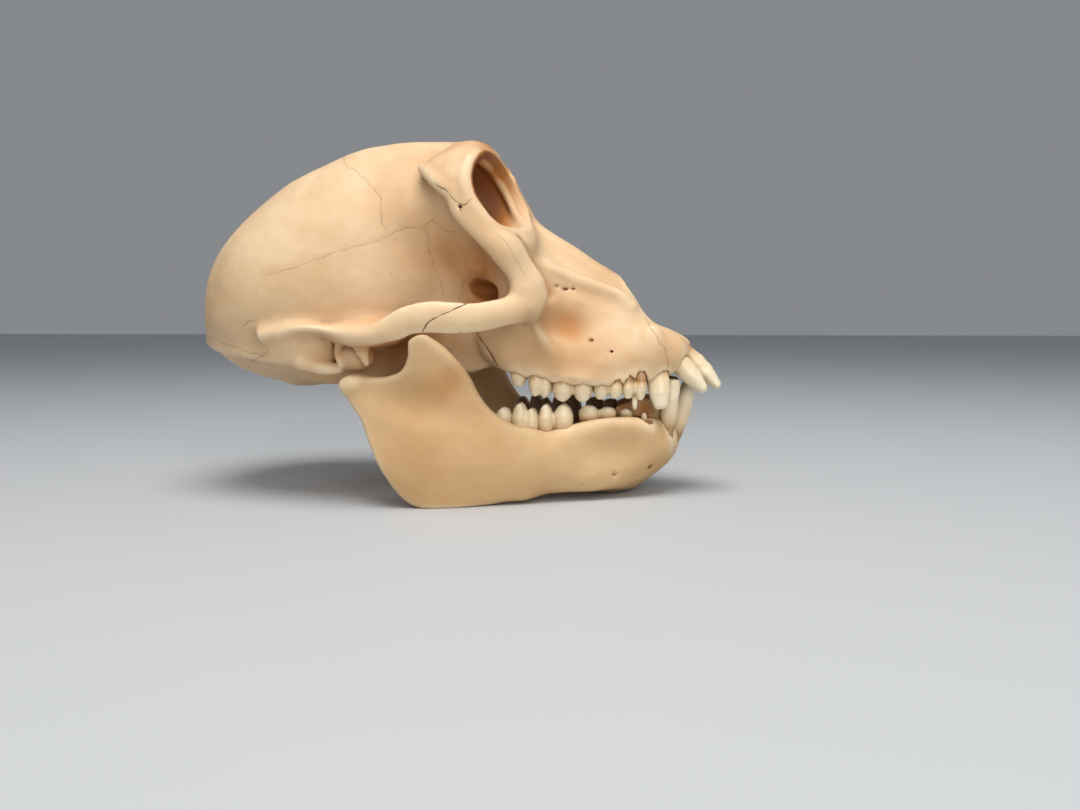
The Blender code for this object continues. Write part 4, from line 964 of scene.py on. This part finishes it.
def spots(table, mirrored):
    """Soft round spots at the points: one after the other, each strongest in its middle."""
    for x, y, z, reach, strength in table:
        away = np.linalg.norm(mirrored - (x, y, z), axis=1) / reach
        yield strength * np.exp(-away**2)


def ridges_and_hollow_shade(field, points, mirrored):
    """How much each point stands out, and the painted shade of how deep it lies, from how full the space
    around it is.
    """
    solid = np.clip(0.5 - field.values / field.step, 0.0, 1.0)
    fills = []
    for reach in FILL_REACHES:
        # Two passes round off the square reach of one
        half = int(round(0.6 * reach / field.step))
        fills.append(sample(field, box_mean(box_mean(solid, half), half), points) - 0.5)
    near, wide, deep = fills
    ridge = 0.55 * ease(-near, 0.03, 0.16) + 0.3 * ease(-wide, 0.05, 0.25)
    hollow_shade = 0.5 * ease(near, 0.03, 0.22) + 0.4 * ease(wide, 0.02, 0.22) + 0.5 * ease(deep, 0.0, 0.2)
    # Painted shade and painted light at the listed spots
    for spot in spots(PAINTED_SHADE_AND_LIGHT, mirrored):
        hollow_shade = hollow_shade + spot
    return ridge, np.clip(hollow_shade, 0.0, 0.9)


def seam_layers(seams, points, normals):
    """Signed distance to the nearest seam, how dark it is on faces that look outwards, and its groove."""
    u = points[:, 0] + 0.45 * value_noise(points, 1.8, 21)
    w = points[:, 2] + 0.45 * value_noise(points, 1.8, 22)
    side, dark = np.full(len(points), 3.0), np.zeros(len(points))
    nearest = np.full(len(points), 99.0)
    outward = ease(normals[:, 1] * np.sign(points[:, 1]), -0.1, 0.15) + ease(normals[:, 2], 0.6, 0.8)
    for strength, wander, rows in seams:
        signed, away = line_distance(rows, points[:, 0] + wander * (u - points[:, 0]),
                                     points[:, 2] + wander * (w - points[:, 2]))
        closer = away < nearest
        nearest = np.where(closer, away, nearest)
        side = np.where(closer, np.clip(signed, -3.0, 3.0), side)
        dark = np.where(closer, strength, dark)
    dark = dark * np.clip(outward, 0.0, 1.0) * ease(nearest, 1.3, 0.7)
    return side, dark, SEAM_DEPTH * dark * np.exp(-((nearest / 0.5) ** 2))


def stain_and_shade_layer(stains_and_shade, orbit_stain_and_shade, points, mirrored):
    """Strength of the stains and painted shade, with the stain and painted shade of the eye sockets on their
    walls.
    """
    stain_and_shade = np.zeros(len(points))
    for spot in spots(stains_and_shade, mirrored):
        stain_and_shade = np.maximum(stain_and_shade, spot)
    # The eye sockets' walls get a brown stain with painted shade under the brow
    if orbit_stain_and_shade:
        wall = np.abs(sweep(ORBIT, (0.0, 1.0, 0.0))[0](*mirrored.T))
        stain_and_shade = np.maximum(stain_and_shade, orbit_stain_and_shade * ease(wall, 1.6, 0.5) * ease(points[:, 0], 23.0, 12.0))
    return stain_and_shade


def bone_piece(name, node_name, field, sockets, seams, stains_and_shade, orbit_stain_and_shade, material):
    """One bone: the teeth's sockets cut into it, its surface rippled, and the layers that colour it."""
    for distance, low, high in sockets:
        if high[1] > 0.0:
            field.cut(((lambda x, y, z, d=distance: d(x, y, z) - SOCKET_GAP), low, high), 0.4)
    points, quads = field.surface()
    obj = make_mesh(name, points, quads, material)
    normals = read_normals(obj)
    mirrored = points * (1.0, 0.0, 1.0) + np.abs(points) * (0.0, 1.0, 0.0)
    ridge, hollow_shade = ridges_and_hollow_shade(field, points, mirrored)
    side, dark, groove = seam_layers(seams, points, normals)
    stain_and_shade = stain_and_shade_layer(stains_and_shade, orbit_stain_and_shade, points, mirrored)
    ripple = sum(height * value_noise(points, size, seed) for height, size, seed in RIPPLES) - groove
    points = points + normals * ripple[:, None]
    points[:, 2] = np.maximum(points[:, 2], 0.0)
    obj.data.vertices.foreach_set("co", in_frame(points))
    obj.data.update()
    for layer, values in (("ridge", ridge), ("hollow_shade", hollow_shade), ("stain_and_shade", stain_and_shade), ("seam_side", side),
                          ("seam_dark", dark)):
        attribute(obj, layer, values)
    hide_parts(node_name)
    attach(obj, "root")


def area_light(name, place, size, power, colour):
    lamp = bpy.data.lights.new(name, "AREA")
    lamp.shape = "DISK"
    lamp.size = size
    lamp.energy = power
    lamp.color = colour
    obj = bpy.data.objects.new(name, lamp)
    obj.location = place
    obj.rotation_mode = "QUATERNION"
    obj.rotation_quaternion = (Vector(LAMP_TARGET) - Vector(place)).to_track_quat("-Z", "Y")
    bpy.context.scene.collection.objects.link(obj)


def make_stage():
    """Pale floor, soft sky and lamps."""
    half = FLOOR_HALF
    mesh = bpy.data.meshes.new("floor")
    mesh.from_pydata([(-half, -half, 0.0), (half, -half, 0.0), (half, half, 0.0), (-half, half, 0.0)], [],
                     [(0, 1, 2, 3)])
    material, _, surface, _ = new_material("floor")
    surface.inputs["Base Color"].default_value = (*FLOOR_COLOUR, 1.0)
    surface.inputs["Roughness"].default_value = 0.6
    mesh.materials.append(material)
    floor = bpy.data.objects.new("floor", mesh)
    bpy.context.scene.collection.objects.link(floor)
    world = bpy.data.worlds.new("studio")
    bpy.context.scene.world = world
    world.use_nodes = True
    background = world.node_tree.nodes["Background"]
    background.inputs["Color"].default_value = (*WORLD_COLOUR, 1.0)
    background.inputs["Strength"].default_value = WORLD_STRENGTH
    for lamp in LAMPS:
        area_light(*lamp)


def make_camera():
    yaw, pitch = math.radians(CAMERA_YAW), math.radians(CAMERA_PITCH)
    aim = Vector((-math.sin(yaw) * math.cos(pitch), math.cos(yaw) * math.cos(pitch), -math.sin(pitch)))
    camera = bpy.data.cameras.new("camera")
    camera.lens, camera.sensor_width = FOCAL_LENGTH, SENSOR_WIDTH
    camera.clip_start = 0.01
    obj = bpy.data.objects.new("camera", camera)
    obj.location = CAMERA_PLACE
    obj.rotation_mode = "QUATERNION"
    obj.rotation_quaternion = aim.to_track_quat("-Z", "Y")
    bpy.context.scene.collection.objects.link(obj)
    bpy.context.scene.camera = obj


skull_bone = bone_material("cranium_bone", *SKULL_COLOURS)
jaw_bone = bone_material("mandible_bone", *JAW_COLOURS)
enamel = enamel_material("enamel")
upper_teeth, upper_sockets = teeth_piece("upper_teeth", "cranium", UPPER_CHEEK, UPPER_FRONT, enamel)
lower_teeth, lower_sockets = teeth_piece("lower_teeth", "mandible", LOWER_CHEEK, LOWER_FRONT, enamel)
bone_piece("cranium_bone", "cranium", cranium_field(BONE_GRID), upper_sockets, SEAMS, STAINS_AND_SHADE, ORBIT_STAIN_AND_SHADE,
           skull_bone)
bone_piece("mandible_bone", "mandible", mandible_field(BONE_GRID), lower_sockets, (), JAW_STAINS_AND_SHADE, 0.0,
           jaw_bone)
make_stage()
make_camera()
bpy.context.scene.view_settings.view_transform = "Standard"
